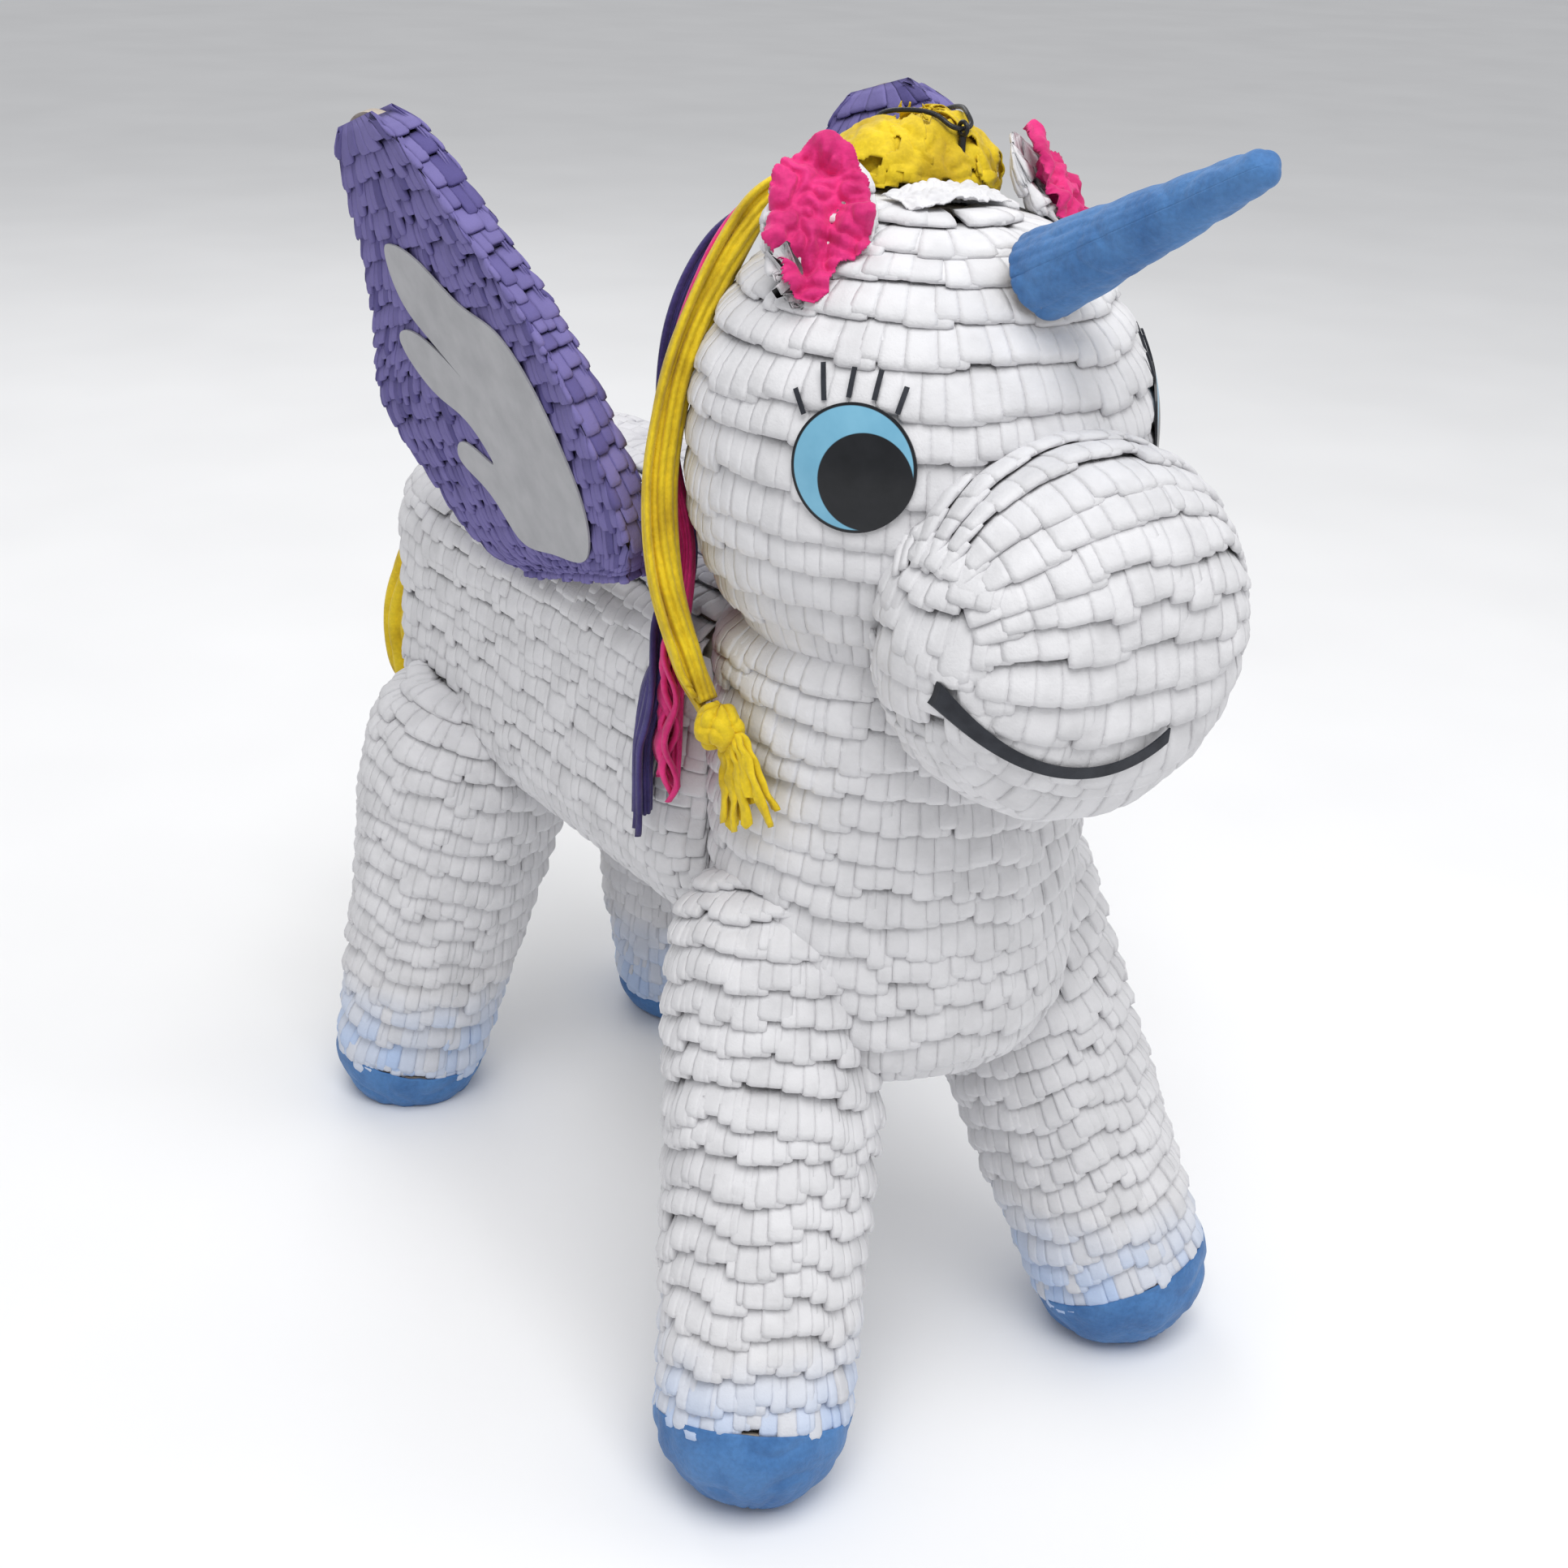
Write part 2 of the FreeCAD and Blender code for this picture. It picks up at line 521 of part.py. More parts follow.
STRANDS = {
    "yellow": [beside_head(-0.25, 0.555, 1.055, 0.6), beside_head(-0.48, 0.595, 0.91, 0.9),
               beside_head(-0.77, 0.595, 0.44, 1), beside_head(-0.93, 0.555, -0.055, 1),
               beside_head(-1.015, 0.39, -0.515, 1), beside_chest(1.16, 0.27, 33, 0.9),
               beside_chest(1.125, 0.135, 51, 0.7)],
    "pink": [beside_head(-0.25, 0.725, 0.995, 0.6), beside_head(-0.5, 0.785, 0.805, 0.9),
             beside_head(-0.745, 0.785, 0.385, 1), beside_head(-0.825, 0.725, -0.055, 1),
             beside_head(-0.805, 0.555, -0.5, 1), beside_torso(2, 23, 43, 1),
             beside_torso(2, 27, 107, 1)],
    "purple": [beside_head(-0.155, 0.88, 0.92, 0.6), beside_head(-0.44, 0.955, 0.725, 0.9),
               beside_head(-0.63, 0.975, 0.365, 1), beside_head(-0.69, 0.92, -0.115, 1),
               beside_head(-0.67, 0.745, -0.545, 1), beside_torso(0, 35, 40, 0.9),
               beside_torso(7, 41, 85, 1), beside_torso(6, 45, 127, 1)],
}
BLOCKERS = [HEAD[FRINGE], CHEST[FRINGE], TORSO[FRINGE], WING_OUTER]
KNOT = place(DOC.addObject("Part::Sphere", "knot_ball"), "tassel_x", "chest_y", "tassel_z")
bind(KNOT, Radius="tassel_radius")
TASSEL = route_loft("tassel_loft",
                    [beside_chest(1.1, -0.07, 63, 0.6), beside_chest(1.09, -0.135, 75, 0.9),
                     beside_chest(1.09, -0.2, 91, 1.1)],
                    (0, cell("chest_y"), cell("tassel_z") - cell("tassel_radius")))
taken = [TOPKNOT, KNOT, TASSEL]
for colour, route in STRANDS.items():
    strand = route_loft(f"{colour}_loft", route, (0, cell("head_y"), cell("head_z")))
    node(cut(f"{colour}_solid", strand, *BLOCKERS, *taken), f"mane_{colour}")
    taken.append(strand)
node(cut("knot_solid", KNOT, CHEST[FRINGE]), "mane_knot")
node(cut("tassel_solid", TASSEL, KNOT, CHEST[FRINGE]), "mane_tassel")

# Each tail point: across, behind the rump, above the torso's middle, and its share.
TAIL_BUNCH = ((-8, -9, 21, 0.4), (-8, cell("tie_out"), cell("tie_rise"), 0.5),
              (-9, 60, 5, 0.62), (-10, 82, -27, 0.85),
              (-10, 94, -65, 1), (-10, 94, -101, 0.9), (-10, 90, -123, 0.45))
TAIL_ROUTE = [((x, cell("torso_back") + out, cell("torso_z") + rise), share)
              for x, out, rise, share in TAIL_BUNCH]
TAIL = route_loft("tail_loft", TAIL_ROUTE,
                  (TAIL_BUNCH[-1][0], cell("torso_back") - cell("tail_radius"),
                   cell("torso_z") - cell("torso_high") / 2),
                  2 * cell("tail_radius"), 1.8 * cell("tail_radius"))
TIE = DOC.addObject("Part::Torus", "tie_ring")
bind(TIE, Radius1="tail_radius / 2 + gap", Radius2="wire")
place(TIE, str(TAIL_BUNCH[1][0]), "tie_y", "tie_z", (1, 0, 0), "84")
node(cut("tail_solid", TAIL, TORSO[FRINGE], TIE), "tail")
node(TIE, "tail_tie")

# ---------------------------------------------------------------- fill flap
FLAP_SKIN = skin(head_region, "flap_layer", "flap_lift", "flap_lift + flap_thick")
FLAP_SPAN = block("flap_span", "0", "head_y - flap_front", "head_z + head_radius / 2",
                  "flap_wide", "flap_front + flap_back", "head_radius")
node(common("flap_solid", FLAP_SKIN, FLAP_SPAN), "fill_flap")


# ---------------------------------------------------------------- hanging loop
def loop_wire():
    """A closed loop of wire: a short foot through the ring, two arms and a round end."""
    half, far, drop = cell("loop_wide") / 2, cell("loop_long"), cell("loop_drop")
    points = [FreeCAD.Vector(*point) for point in (
        (0, 0, 0), (half * 0.45, far * 0.1, 4), (half * 0.8, far * 0.3, 6), (half, far * 0.6, 2),
        (half * 0.75, far * 0.9, -drop * 0.7), (0, far, -drop))]
    curve = Part.BSplineCurve()
    curve.interpolate(Points=points, InitialTangent=FreeCAD.Vector(1, 0, 0),
                      FinalTangent=FreeCAD.Vector(-1, 0, 0))
    ring = Part.Circle(points[0], FreeCAD.Vector(1, 0, 0), cell("wire"))
    arm = Part.Wire(curve.toShape()).makePipe(Part.Face(Part.Wire(ring.toShape())))
    other = arm.mirror(FreeCAD.Vector(0, 0, 0), FreeCAD.Vector(1, 0, 0))
    item = DOC.addObject("Part::Feature", "loop_pipe")
    item.Shape = arm.fuse(other).removeSplitter()
    return place(item, "loop_x", "loop_y", "loop_z")


node(loop_wire(), "hanging_loop")

# ---------------------------------------------------------------- check and export
DOC.recompute()
for item in DOC.Objects:
    if {"Invalid", "Error"} & set(item.State):
        raise RuntimeError(f"{item.Name} failed: {item.State}")
for piece in NODES:
    if piece.Shape.isNull() or not piece.Shape.isValid() or not piece.Shape.Solids:
        raise RuntimeError(f"{piece.Label} has no valid solid")
os.makedirs("parts", exist_ok=True)
for piece in NODES:
    piece.Shape.exportStep(f"parts/{piece.Label}.step")
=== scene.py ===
"""A winged unicorn pinata: looped tissue fringe, crepe hooves, horn, mane and tail.

Lengths are in metres, in the frame's own axes: +Z up, the animal faces -Y, its right side is -X.
Every covering is a Patch: a grid of rays cast in towards a spine inside one CAD piece, so each
tab, crease and fold is laid on the face of the piece that it stands for.
"""
import math

import bpy
import numpy as np
from mathutils import Matrix, Vector, noise
from mathutils.bvhtree import BVHTree


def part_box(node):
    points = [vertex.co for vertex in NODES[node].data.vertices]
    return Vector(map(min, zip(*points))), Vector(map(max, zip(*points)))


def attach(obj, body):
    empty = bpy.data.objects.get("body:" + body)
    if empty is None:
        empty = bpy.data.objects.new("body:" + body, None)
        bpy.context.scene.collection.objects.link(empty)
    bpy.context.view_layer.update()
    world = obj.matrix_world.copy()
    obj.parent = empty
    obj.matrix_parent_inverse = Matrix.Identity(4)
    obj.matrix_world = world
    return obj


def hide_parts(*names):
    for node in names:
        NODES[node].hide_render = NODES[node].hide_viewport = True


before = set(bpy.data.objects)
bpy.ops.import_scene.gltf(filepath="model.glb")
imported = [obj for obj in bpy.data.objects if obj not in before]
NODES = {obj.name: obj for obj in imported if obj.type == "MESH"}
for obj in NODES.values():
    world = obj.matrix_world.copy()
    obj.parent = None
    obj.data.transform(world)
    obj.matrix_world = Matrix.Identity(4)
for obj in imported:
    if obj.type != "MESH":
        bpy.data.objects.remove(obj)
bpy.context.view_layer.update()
MM = 0.001
TURN = 2 * math.pi

# Driving places, read from the frame where it has them.
HEAD_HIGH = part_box("head_fringe")[1]
HEAD_Y = -0.162
HEAD_RADIUS = HEAD_HIGH.x
CROWN = Vector((0, HEAD_Y, HEAD_HIGH.z - HEAD_RADIUS))
HEAD_STRETCH = 0.019
MUZZLE = Vector((0, -0.266, 0.431))
CHEST_LOW, CHEST_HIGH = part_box("chest_fringe")
CHEST_Y = -0.160
TORSO_LOW, TORSO_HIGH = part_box("torso_fringe")


# ------------------------------------------------------------------ meshes
def piece(name, verts, faces, material, body="figure", slot=None, stands_for=(), smooth=True):
    """A new mesh in one material that rides on a body and stands for some CAD nodes."""
    mesh = bpy.data.meshes.new(name)
    mesh.from_pydata(np.asarray(verts, float).reshape(-1, 3).tolist(), [], faces)
    mesh.polygons.foreach_set("use_smooth", [smooth] * len(mesh.polygons))
    mesh.materials.append(material)
    mesh.update()
    item = bpy.data.objects.new(name, mesh)
    bpy.context.scene.collection.objects.link(item)
    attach(item, body)
    if stands_for:
        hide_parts(*stands_for)
    return item


def search_tree(*names):
    verts, faces = [], []
    for name in names:
        start = len(verts)
        mesh = NODES[name].data
        verts += [vert.co.copy() for vert in mesh.vertices]
        faces += [[start + index for index in face.vertices] for face in mesh.polygons]
    return BVHTree.FromPolygons(verts, faces)


def unit(vectors):
    return vectors / np.maximum(np.linalg.norm(vectors, axis=-1, keepdims=True), 1e-12)


class Patch:
    """Part of a CAD piece's outer face, sampled by rays cast in towards a spine.

    u runs round the piece and v down it. origin(u, v) gives spine points and aim(u, v) outward
    directions, both on arrays. Where a ray meets nothing, the reach is filled from its
    neighbours, so a tab at a border keeps its shape."""

    def __init__(self, node, origin, aim, u_span, v_span, counts=(180, 90), reach=0.3, least=0.25):
        self.origin, self.aim = origin, aim
        self.u_span, self.v_span, self.counts = u_span, v_span, counts
        u, v = np.meshgrid(np.linspace(*u_span, counts[0]), np.linspace(*v_span, counts[1]),
                           indexing="ij")
        ways = unit(aim(u, v))
        starts = origin(u, v) + ways * reach
        search = search_tree(node)
        grid = np.full(u.shape, np.nan)
        for index in np.ndindex(u.shape):
            hit, normal, _, travelled = search.ray_cast(Vector(starts[index]),
                                                        Vector(-ways[index]), reach)
            if hit is not None and normal.dot(Vector(ways[index])) > least:
                grid[index] = reach - travelled
        self.found = ~np.isnan(grid)
        self.grid = self.filled(grid)

    @staticmethod
    def filled(grid):
        grid = grid.copy()
        while np.isnan(grid).any():
            around = np.stack([np.roll(grid, 1, 0), np.roll(grid, -1, 0),
                               np.vstack([grid[:, :1].T, grid[:, :-1].T]).T,
                               np.vstack([grid[:, 1:].T, grid[:, -1:].T]).T])
            known = ~np.isnan(around)
            total = np.where(known, around, 0).sum(0)
            count = known.sum(0)
            fresh = np.isnan(grid) & (count > 0)
            grid[fresh] = total[fresh] / count[fresh]
        return grid

    def locate(self, u, v):
        """Grid cell and share within it for some coordinates."""
        out = []
        for value, span, count in ((u, self.u_span, self.counts[0]),
                                   (v, self.v_span, self.counts[1])):
            where = (value - span[0]) / (span[1] - span[0]) * (count - 1)
            out.append(np.clip(where, 0, count - 1.000001))
        return out

    def wrapped(self, u):
        """u brought back into its span where the patch closes on itself."""
        low, high = self.u_span
        if high - low > TURN - 0.01:
            return low + (u - low) % (high - low)
        return u

    def reach_at(self, u, v):
        a, b = self.locate(self.wrapped(u), v)
        i, j = a.astype(int), b.astype(int)
        s, t = a - i, b - j
        g = self.grid
        return ((g[i, j] * (1 - s) + g[i + 1, j] * s) * (1 - t)
                + (g[i, j + 1] * (1 - s) + g[i + 1, j + 1] * s) * t)

    def is_found(self, u, v):
        a, b = self.locate(self.wrapped(u), v)
        inside = (v >= self.v_span[0] - 1e-6) & (v <= self.v_span[1] + 1e-6)
        return self.found[np.round(a).astype(int), np.round(b).astype(int)] & inside

    def bare(self, u, v):
        return self.origin(u, v) + unit(self.aim(u, v)) * self.reach_at(u, v)[..., None]

    def at(self, u, v, height=0.0):
        """Points above the face by a height along its normal."""
        step = 2e-3
        across = self.bare(u + step, v) - self.bare(u - step, v)
        down = self.bare(u, v + step) - self.bare(u, v - step)
        normal = unit(np.cross(down, across))
        out = unit(self.aim(u, v))
        normal *= np.sign((normal * out).sum(-1, keepdims=True) + 1e-9)
        lean = (normal * out).sum(-1, keepdims=True)
        normal = unit(np.where(lean < 0.4, normal + out * 0.8, normal))
        return self.bare(u, v) + normal * np.asarray(height)[..., None]

    def scale(self, u, v):
        """Metres per unit of u and per unit of v."""
        step = 4e-3
        across = np.linalg.norm(self.bare(u + step, v) - self.bare(u - step, v), axis=-1)
        down = np.linalg.norm(self.bare(u, v + step) - self.bare(u, v - step), axis=-1)
        return np.maximum(across, 1e-6) / (2 * step), np.maximum(down, 1e-6) / (2 * step)


def ripple(values, scale, row, seed):
    """Smooth noise along a line of values."""
    return np.array([noise.noise(Vector((value * scale, row, seed))) for value in values])


# ------------------------------------------------------------------ looped tissue tabs
# Along a tab from its glued end to its fold and back, and how far it stands out.
LOOP = np.array([(0.0, 0.0), (0.3, 0.38), (0.6, 0.82), (0.84, 1.0), (0.97, 0.92), (1.0, 0.6),
                 (0.9, 0.42), (0.35, 0.02)])
COLUMNS = np.array([-0.5, -0.3, 0.3, 0.5])
IS_EDGE = 0.4        # columns further out than this share of a tab are its two edges
EDGE_DROP = 0.0004   # how much lower a tab's edges lie than its middle
EDGE_SHORT = 0.035   # and how much shorter they are, as a share of its length
SEEN_SHARE = 0.62    # a tab is kept where the face is found this far along it
# Each ply of a row: how far it is shifted along the row, in tab widths, and how far it lies below.
PLIES = ((0.0, 0.0), (0.5, 0.0009))


def tab_faces(count):
    """Faces of the closed tabs, each a loop of section points on every column."""
    rounds, columns = len(LOOP), len(COLUMNS)
    one = []
    for column in range(columns - 1):
        for step in range(rounds):
            a, b = column * rounds + step, column * rounds + (step + 1) % rounds
            one.append((a, b, b + rounds, a + rounds))
    one.append(tuple(range(rounds - 1, -1, -1)))
    one.append(tuple((columns - 1) * rounds + step for step in range(rounds)))
    size = rounds * columns
    return [tuple(size * number + index for index in face)
            for number in range(count) for face in one]


def row_tabs(patch, dice, v, pitch, width, spread, overlap):
    """Middle u, width and length in patch units for each tab along one row."""
    samples = np.linspace(*patch.u_span, 240)
    level = np.full_like(samples, v)
    metres, _ = patch.scale(samples, level)
    run = np.concatenate([[0], np.cumsum((metres[1:] + metres[:-1]) / 2 * np.diff(samples))])
    count = int(run[-1] / width)
    if count < 4:
        return None
    edges = np.arange(count + 1) + np.concatenate([[0], dice.normal(0, spread, count - 1), [0]])
    if patch.u_span[1] - patch.u_span[0] > TURN - 0.01:
        edges += dice.uniform(0, 1)
    edges = np.interp(edges * run[-1] / count, run, samples)
    middle, wide = (edges[1:] + edges[:-1]) / 2, edges[1:] - edges[:-1]
    _, down = patch.scale(np.array([sum(patch.u_span) / 2]), np.array([v]))
    return middle, wide, np.full_like(middle, pitch * overlap / down[0])


def fringe(patch, seed, pitch, width, depth, v_start, v_end, spread=0.12, overlap=1.35,
           ragged=0.08, swing=0.0, wave=0.0, keep=None, proud=0.0, plies=PLIES):
    """Vertices of every tab on a patch, one row after another down to a last one at v_end."""
    dice = np.random.default_rng(seed)
    shapes = []
    v = max(v_start, patch.v_span[0])
    while v <= v_end and v < patch.v_span[1]:
        _, down = patch.scale(np.array([sum(patch.u_span) / 2]), np.array([v]))
        row = row_tabs(patch, dice, v, pitch, width, spread, overlap)
        if row is not None:
            shapes.append(one_row(patch, dice, v, row, depth, ragged, swing, wave, proud, keep,
                                  plies))
        if v == v_end:
            break
        v = min(v + pitch / float(down[0]) * dice.uniform(0.94, 1.06), v_end)
    shapes = [shape for shape in shapes if shape is not None and len(shape)]
    return np.concatenate(shapes)


def one_row(patch, dice, v, row, depth, ragged, swing, wave, proud, keep, plies):
    """Vertices of the tabs of one row, or None where none of them lies on the face.

    ragged varies the tabs' lengths, swing slants them, wave lets the row wander up and down,
    and proud is how far the highest of them stand off the face."""
    middle, wide, long = row
    spot = v + long * SEEN_SHARE
    good = patch.is_found(middle, np.minimum(spot, patch.v_span[1]))
    drift = wave * ripple(middle, 1.7, v * 9, 3.1)
    middle, wide, long, drift = (part[good] for part in (middle, wide, long, drift))
    count = len(middle)
    if not count:
        return None
    long = long * dice.uniform(0.93, 1.1) * (1 + dice.normal(0, ragged, count)).clip(0.72, 1.25)
    puff = dice.uniform(0.96, 1.0, count)
    twist = dice.normal(0, 0.09, count)
    slant = dice.normal(0, 0.05, count) + swing
    gap = dice.uniform(1.0, 1.06, count)
    swell = 0.5 + ripple(middle, 3, v * 31, 8.3)
    side, along = COLUMNS[None, :, None], LOOP[None, None, :, 0]
    rise = LOOP[None, None, :, 1]
    edge = np.abs(side) > IS_EDGE
    round_off = 1 - EDGE_SHORT * edge
    us = middle[:, None, None] + (side * gap[:, None, None] + slant[:, None, None] * along) \
        * wide[:, None, None]
    vs = v + drift[:, None, None] * long[:, None, None] \
        + along * round_off * long[:, None, None]
    heights = -depth + depth * rise * puff[:, None, None] * (1 + 0.35 * twist[:, None, None] * side)
    heights = heights - EDGE_DROP * edge * rise + proud * swell[:, None, None] * rise
    us, vs = np.broadcast_arrays(us, vs)
    heights = np.broadcast_to(heights, us.shape)
    points = np.concatenate([
        patch.at(us + shift * wide[:, None, None], vs, heights - sink * rise)
        for shift, sink in plies])
    if keep is not None:
        points = points[keep(points.mean((1, 2)))]
    return points


def backing(patch, depth, stride=2):
    """A closed sheet a depth below the face, so nothing shows through between the tabs."""
    us = np.linspace(*patch.u_span, (patch.counts[0] - 1) // stride + 1)
    vs = np.linspace(*patch.v_span, (patch.counts[1] - 1) // stride + 1)
    return sheet(patch, us, vs, lambda u, v: np.full_like(u, -depth), 0.0012)


def sheet(patch, us, vs, height, thick, keep=None):
    """A closed thin sheet over the found part of a patch: outer and inner grids and a rim."""
    u, v = np.meshgrid(us, vs, indexing="ij")
    level = height(u, v)
    top, low = patch.at(u, v, level), patch.at(u, v, level - thick)
    good = patch.is_found(u, v)
    if keep is not None:
        good &= keep(u, v)
    cells = good[:-1, :-1] & good[1:, :-1] & good[:-1, 1:] & good[1:, 1:]
    number = np.arange(u.size).reshape(u.shape)
    total = u.size
    faces = []
    for i, j in zip(*np.nonzero(cells)):
        a, b, c, d = number[i, j], number[i + 1, j], number[i + 1, j + 1], number[i, j + 1]
        faces.append((a, d, c, b))
        faces.append((a + total, b + total, c + total, d + total))
        for near, (one, two) in (((i - 1, j), (a, d)), ((i + 1, j), (c, b)),
                                 ((i, j - 1), (b, a)), ((i, j + 1), (d, c))):
            inside = 0 <= near[0] < cells.shape[0] and 0 <= near[1] < cells.shape[1]
            if not (inside and cells[near]):
                faces.append((two, one, one + total, two + total))
    verts = np.concatenate([top.reshape(-1, 3), low.reshape(-1, 3)])
    return tidy(verts, faces)


def tidy(verts, faces):
    """Drops the points that no face uses."""
    used = np.unique(np.concatenate([np.asarray(face) for face in faces]))
    place = np.full(len(verts), -1)
    place[used] = np.arange(len(used))
    return verts[used], [tuple(int(place[index]) for index in face) for face in faces]


def joined(*parts):
    """Several (verts, faces) as one."""
    verts, faces, start = [], [], 0
    for points, cells in parts:
        points = np.asarray(points, float).reshape(-1, 3)
        verts.append(points)
        faces += [tuple(start + index for index in cell) for cell in cells]
        start += len(points)
    return np.concatenate(verts), faces


def tabbed(name, patches, material, slot, stands_for, **style):
    """A fringe-covered piece: the tabs of one or more patches over their backing.

    Each patch comes with the style values of its own that differ from the shared ones."""
    parts = []
    for number, (patch, own) in enumerate(patches):
        rows = fringe(patch, **{**style, "seed": style["seed"] + number, **own})
        parts.append((rows, tab_faces(len(rows))))
        parts.append(backing(patch, style["depth"] + 0.0004))
    verts, faces = joined(*parts)
    return piece(name, verts, faces, material, slot=slot, stands_for=stands_for)


# ------------------------------------------------------------------ materials
def shader(name, roughness, **settings):
    material = bpy.data.materials.new(name)
    material.use_nodes = True
    tree = material.node_tree
    surface = tree.nodes["Principled BSDF"]
    surface.inputs["Roughness"].default_value = roughness
    for socket, value in settings.items():
        surface.inputs[socket.replace("_", " ")].default_value = value
    return material, tree.nodes, tree.links, surface


def grain(nodes, links, scale, detail=4, stretch=(1, 1, 1), rough=0.55):
    """Noise in the object's own coordinates, in features per metre."""
    place = nodes.new("ShaderNodeTexCoord")
    mapping = nodes.new("ShaderNodeMapping")
    mapping.inputs["Scale"].default_value = stretch
    links.new(place.outputs["Object"], mapping.inputs["Vector"])
    speckle = nodes.new("ShaderNodeTexNoise")
    speckle.inputs["Scale"].default_value = scale
    speckle.inputs["Detail"].default_value = detail
    speckle.inputs["Roughness"].default_value = rough
    links.new(mapping.outputs["Vector"], speckle.inputs["Vector"])
    return speckle.outputs["Fac"]


def ramp(nodes, links, source, *stops):
    """A colour ramp with (place, colour) stops."""
    band = nodes.new("ShaderNodeValToRGB")
    links.new(source, band.inputs["Fac"])
    elements = band.color_ramp.elements
    while len(elements) < len(stops):
        elements.new(0.5)
    for element, (place, colour) in zip(elements, stops):
        element.position = place
        element.color = (*colour, 1)
    return band.outputs["Color"]


def mixed(nodes, links, factor, first, second, mode="MIX"):
    mix = nodes.new("ShaderNodeMix")
    mix.data_type = "RGBA"
    mix.blend_type = mode
    for socket, value in zip((mix.inputs["Factor"], mix.inputs[6], mix.inputs[7]),
                             (factor, first, second)):
        if isinstance(value, (int, float)):
            socket.default_value = value
        elif isinstance(value, tuple):
            socket.default_value = (*value, 1)
        else:
            links.new(value, socket)
    return mix.outputs[2]


def maths(nodes, links, kind, *values):
    step = nodes.new("ShaderNodeMath")
    step.operation = kind
    for socket, value in zip(step.inputs, values):
        if isinstance(value, (int, float)):
            socket.default_value = value
        else:
            links.new(value, socket)
    return step.outputs["Value"]


def rising(nodes, links, value, low, high):
    """0 where a value is at low or beyond, rising to 1 at high."""
    step = nodes.new("ShaderNodeMapRange")
    step.inputs["From Min"].default_value = low
    step.inputs["From Max"].default_value = high
    links.new(value, step.inputs["Value"])
    return step.outputs["Result"]


def bumped(nodes, links, surface, distance, *heights):
    """Chained bumps from (height output, strength) pairs."""
    last = None
    for height, strength in heights:
        step = nodes.new("ShaderNodeBump")
        step.inputs["Strength"].default_value = strength
        step.inputs["Distance"].default_value = distance
        links.new(height, step.inputs["Height"])
        if last:
            links.new(last, step.inputs["Normal"])
        last = step.outputs["Normal"]
    links.new(last, surface.inputs["Normal"])


def tissue(name, dark, light, ankle=None):
    """Matt tissue: each tab has its own tone, with a mottle and fine creases.

    ankle is (low, high, colour): the tissue takes that tint towards the low height."""
    material, nodes, links, surface = shader(name, 0.85, Specular_IOR_Level=0.2)
    island = nodes.new("ShaderNodeNewGeometry").outputs["Random Per Island"]
    tone = ramp(nodes, links, island, (0.0, dark), (0.35, light), (1.0, light))
    mottle = grain(nodes, links, 55, 3)
    colour = mixed(nodes, links, 1.0, tone,
                   ramp(nodes, links, mottle, (0.3, (0.88, 0.88, 0.88)), (0.6, (1, 1, 1))),
                   "MULTIPLY")
    if ankle:
        low, high, tint = ankle
        place = nodes.new("ShaderNodeTexCoord")
        parts = nodes.new("ShaderNodeSeparateXYZ")
        links.new(place.outputs["Object"], parts.inputs["Vector"])
        fade = rising(nodes, links, parts.outputs["Z"], high, low)
        share = maths(nodes, links, "MULTIPLY", island, 0.75)
        patchy = maths(nodes, links, "MULTIPLY", fade, maths(nodes, links, "ADD", share, 0.1))
        colour = mixed(nodes, links, patchy, colour, tint)
    links.new(colour, surface.inputs["Base Color"])
    bumped(nodes, links, surface, 0.0012, (grain(nodes, links, 240, 4), 0.35),
           (grain(nodes, links, 950, 2), 0.18))
    return material


def crepe(name, dark, light, stretch=(1, 1, 1), crinkle=420, depth=0.5):
    """Crepe paper: fine parallel crinkles and a little sheen, with painted shade that makes the
    colour darker in the folds and crinkles.
    """
    material, nodes, links, surface = shader(name, 0.68, Specular_IOR_Level=0.3, Sheen_Weight=0.1)
    folds = grain(nodes, links, 42, 5)
    fine = grain(nodes, links, crinkle, 3, stretch)
    # painted shade: the base colour darkens where the fold and crinkle noises dip, the same noises
    # that lower the bump below
    colour = mixed(nodes, links, 1.0, ramp(nodes, links, folds, (0.3, dark), (0.6, light)),
                   ramp(nodes, links, fine, (0.35, (0.86, 0.86, 0.86)), (0.65, (1, 1, 1))),
                   "MULTIPLY")
    links.new(colour, surface.inputs["Base Color"])
    bumped(nodes, links, surface, 0.0016, (folds, depth), (fine, 0.3))
    return material


def paper(name, dark, light, roughness=0.6, scale=120):
    material, nodes, links, surface = shader(name, roughness, Specular_IOR_Level=0.35)
    cloud = grain(nodes, links, scale, 4)
    links.new(ramp(nodes, links, cloud, (0.35, dark), (0.65, light)),
              surface.inputs["Base Color"])
    bumped(nodes, links, surface, 0.0006, (cloud, 0.25), (grain(nodes, links, 1400, 2), 0.15))
    return material


WHITE = tissue("white_tissue", (0.68, 0.675, 0.69), (0.72, 0.715, 0.73),
               (0.045, 0.092, (0.40, 0.54, 0.80)))
PURPLE = tissue("purple_tissue", (0.10, 0.085, 0.25), (0.19, 0.165, 0.39))
BLUE = crepe("blue_crepe", (0.035, 0.13, 0.34), (0.075, 0.21, 0.47))
YELLOW = crepe("yellow_crepe", (0.50, 0.33, 0.004), (0.80, 0.58, 0.012))
PINK = crepe("pink_crepe", (0.50, 0.006, 0.12), (0.78, 0.03, 0.22))
VIOLET = crepe("dark_purple_crepe", (0.026, 0.018, 0.09), (0.06, 0.045, 0.19))
GREY = paper("grey_paper", (0.36, 0.36, 0.375), (0.43, 0.43, 0.445), 0.55, 45)
BLACK = paper("black_paper", (0.012, 0.014, 0.02), (0.026, 0.029, 0.038))
CARD = paper("brown_card", (0.36, 0.30, 0.24), (0.46, 0.40, 0.33))
WIRE = paper("black_wire", (0.010, 0.010, 0.012), (0.02, 0.02, 0.022), 0.35, 900)
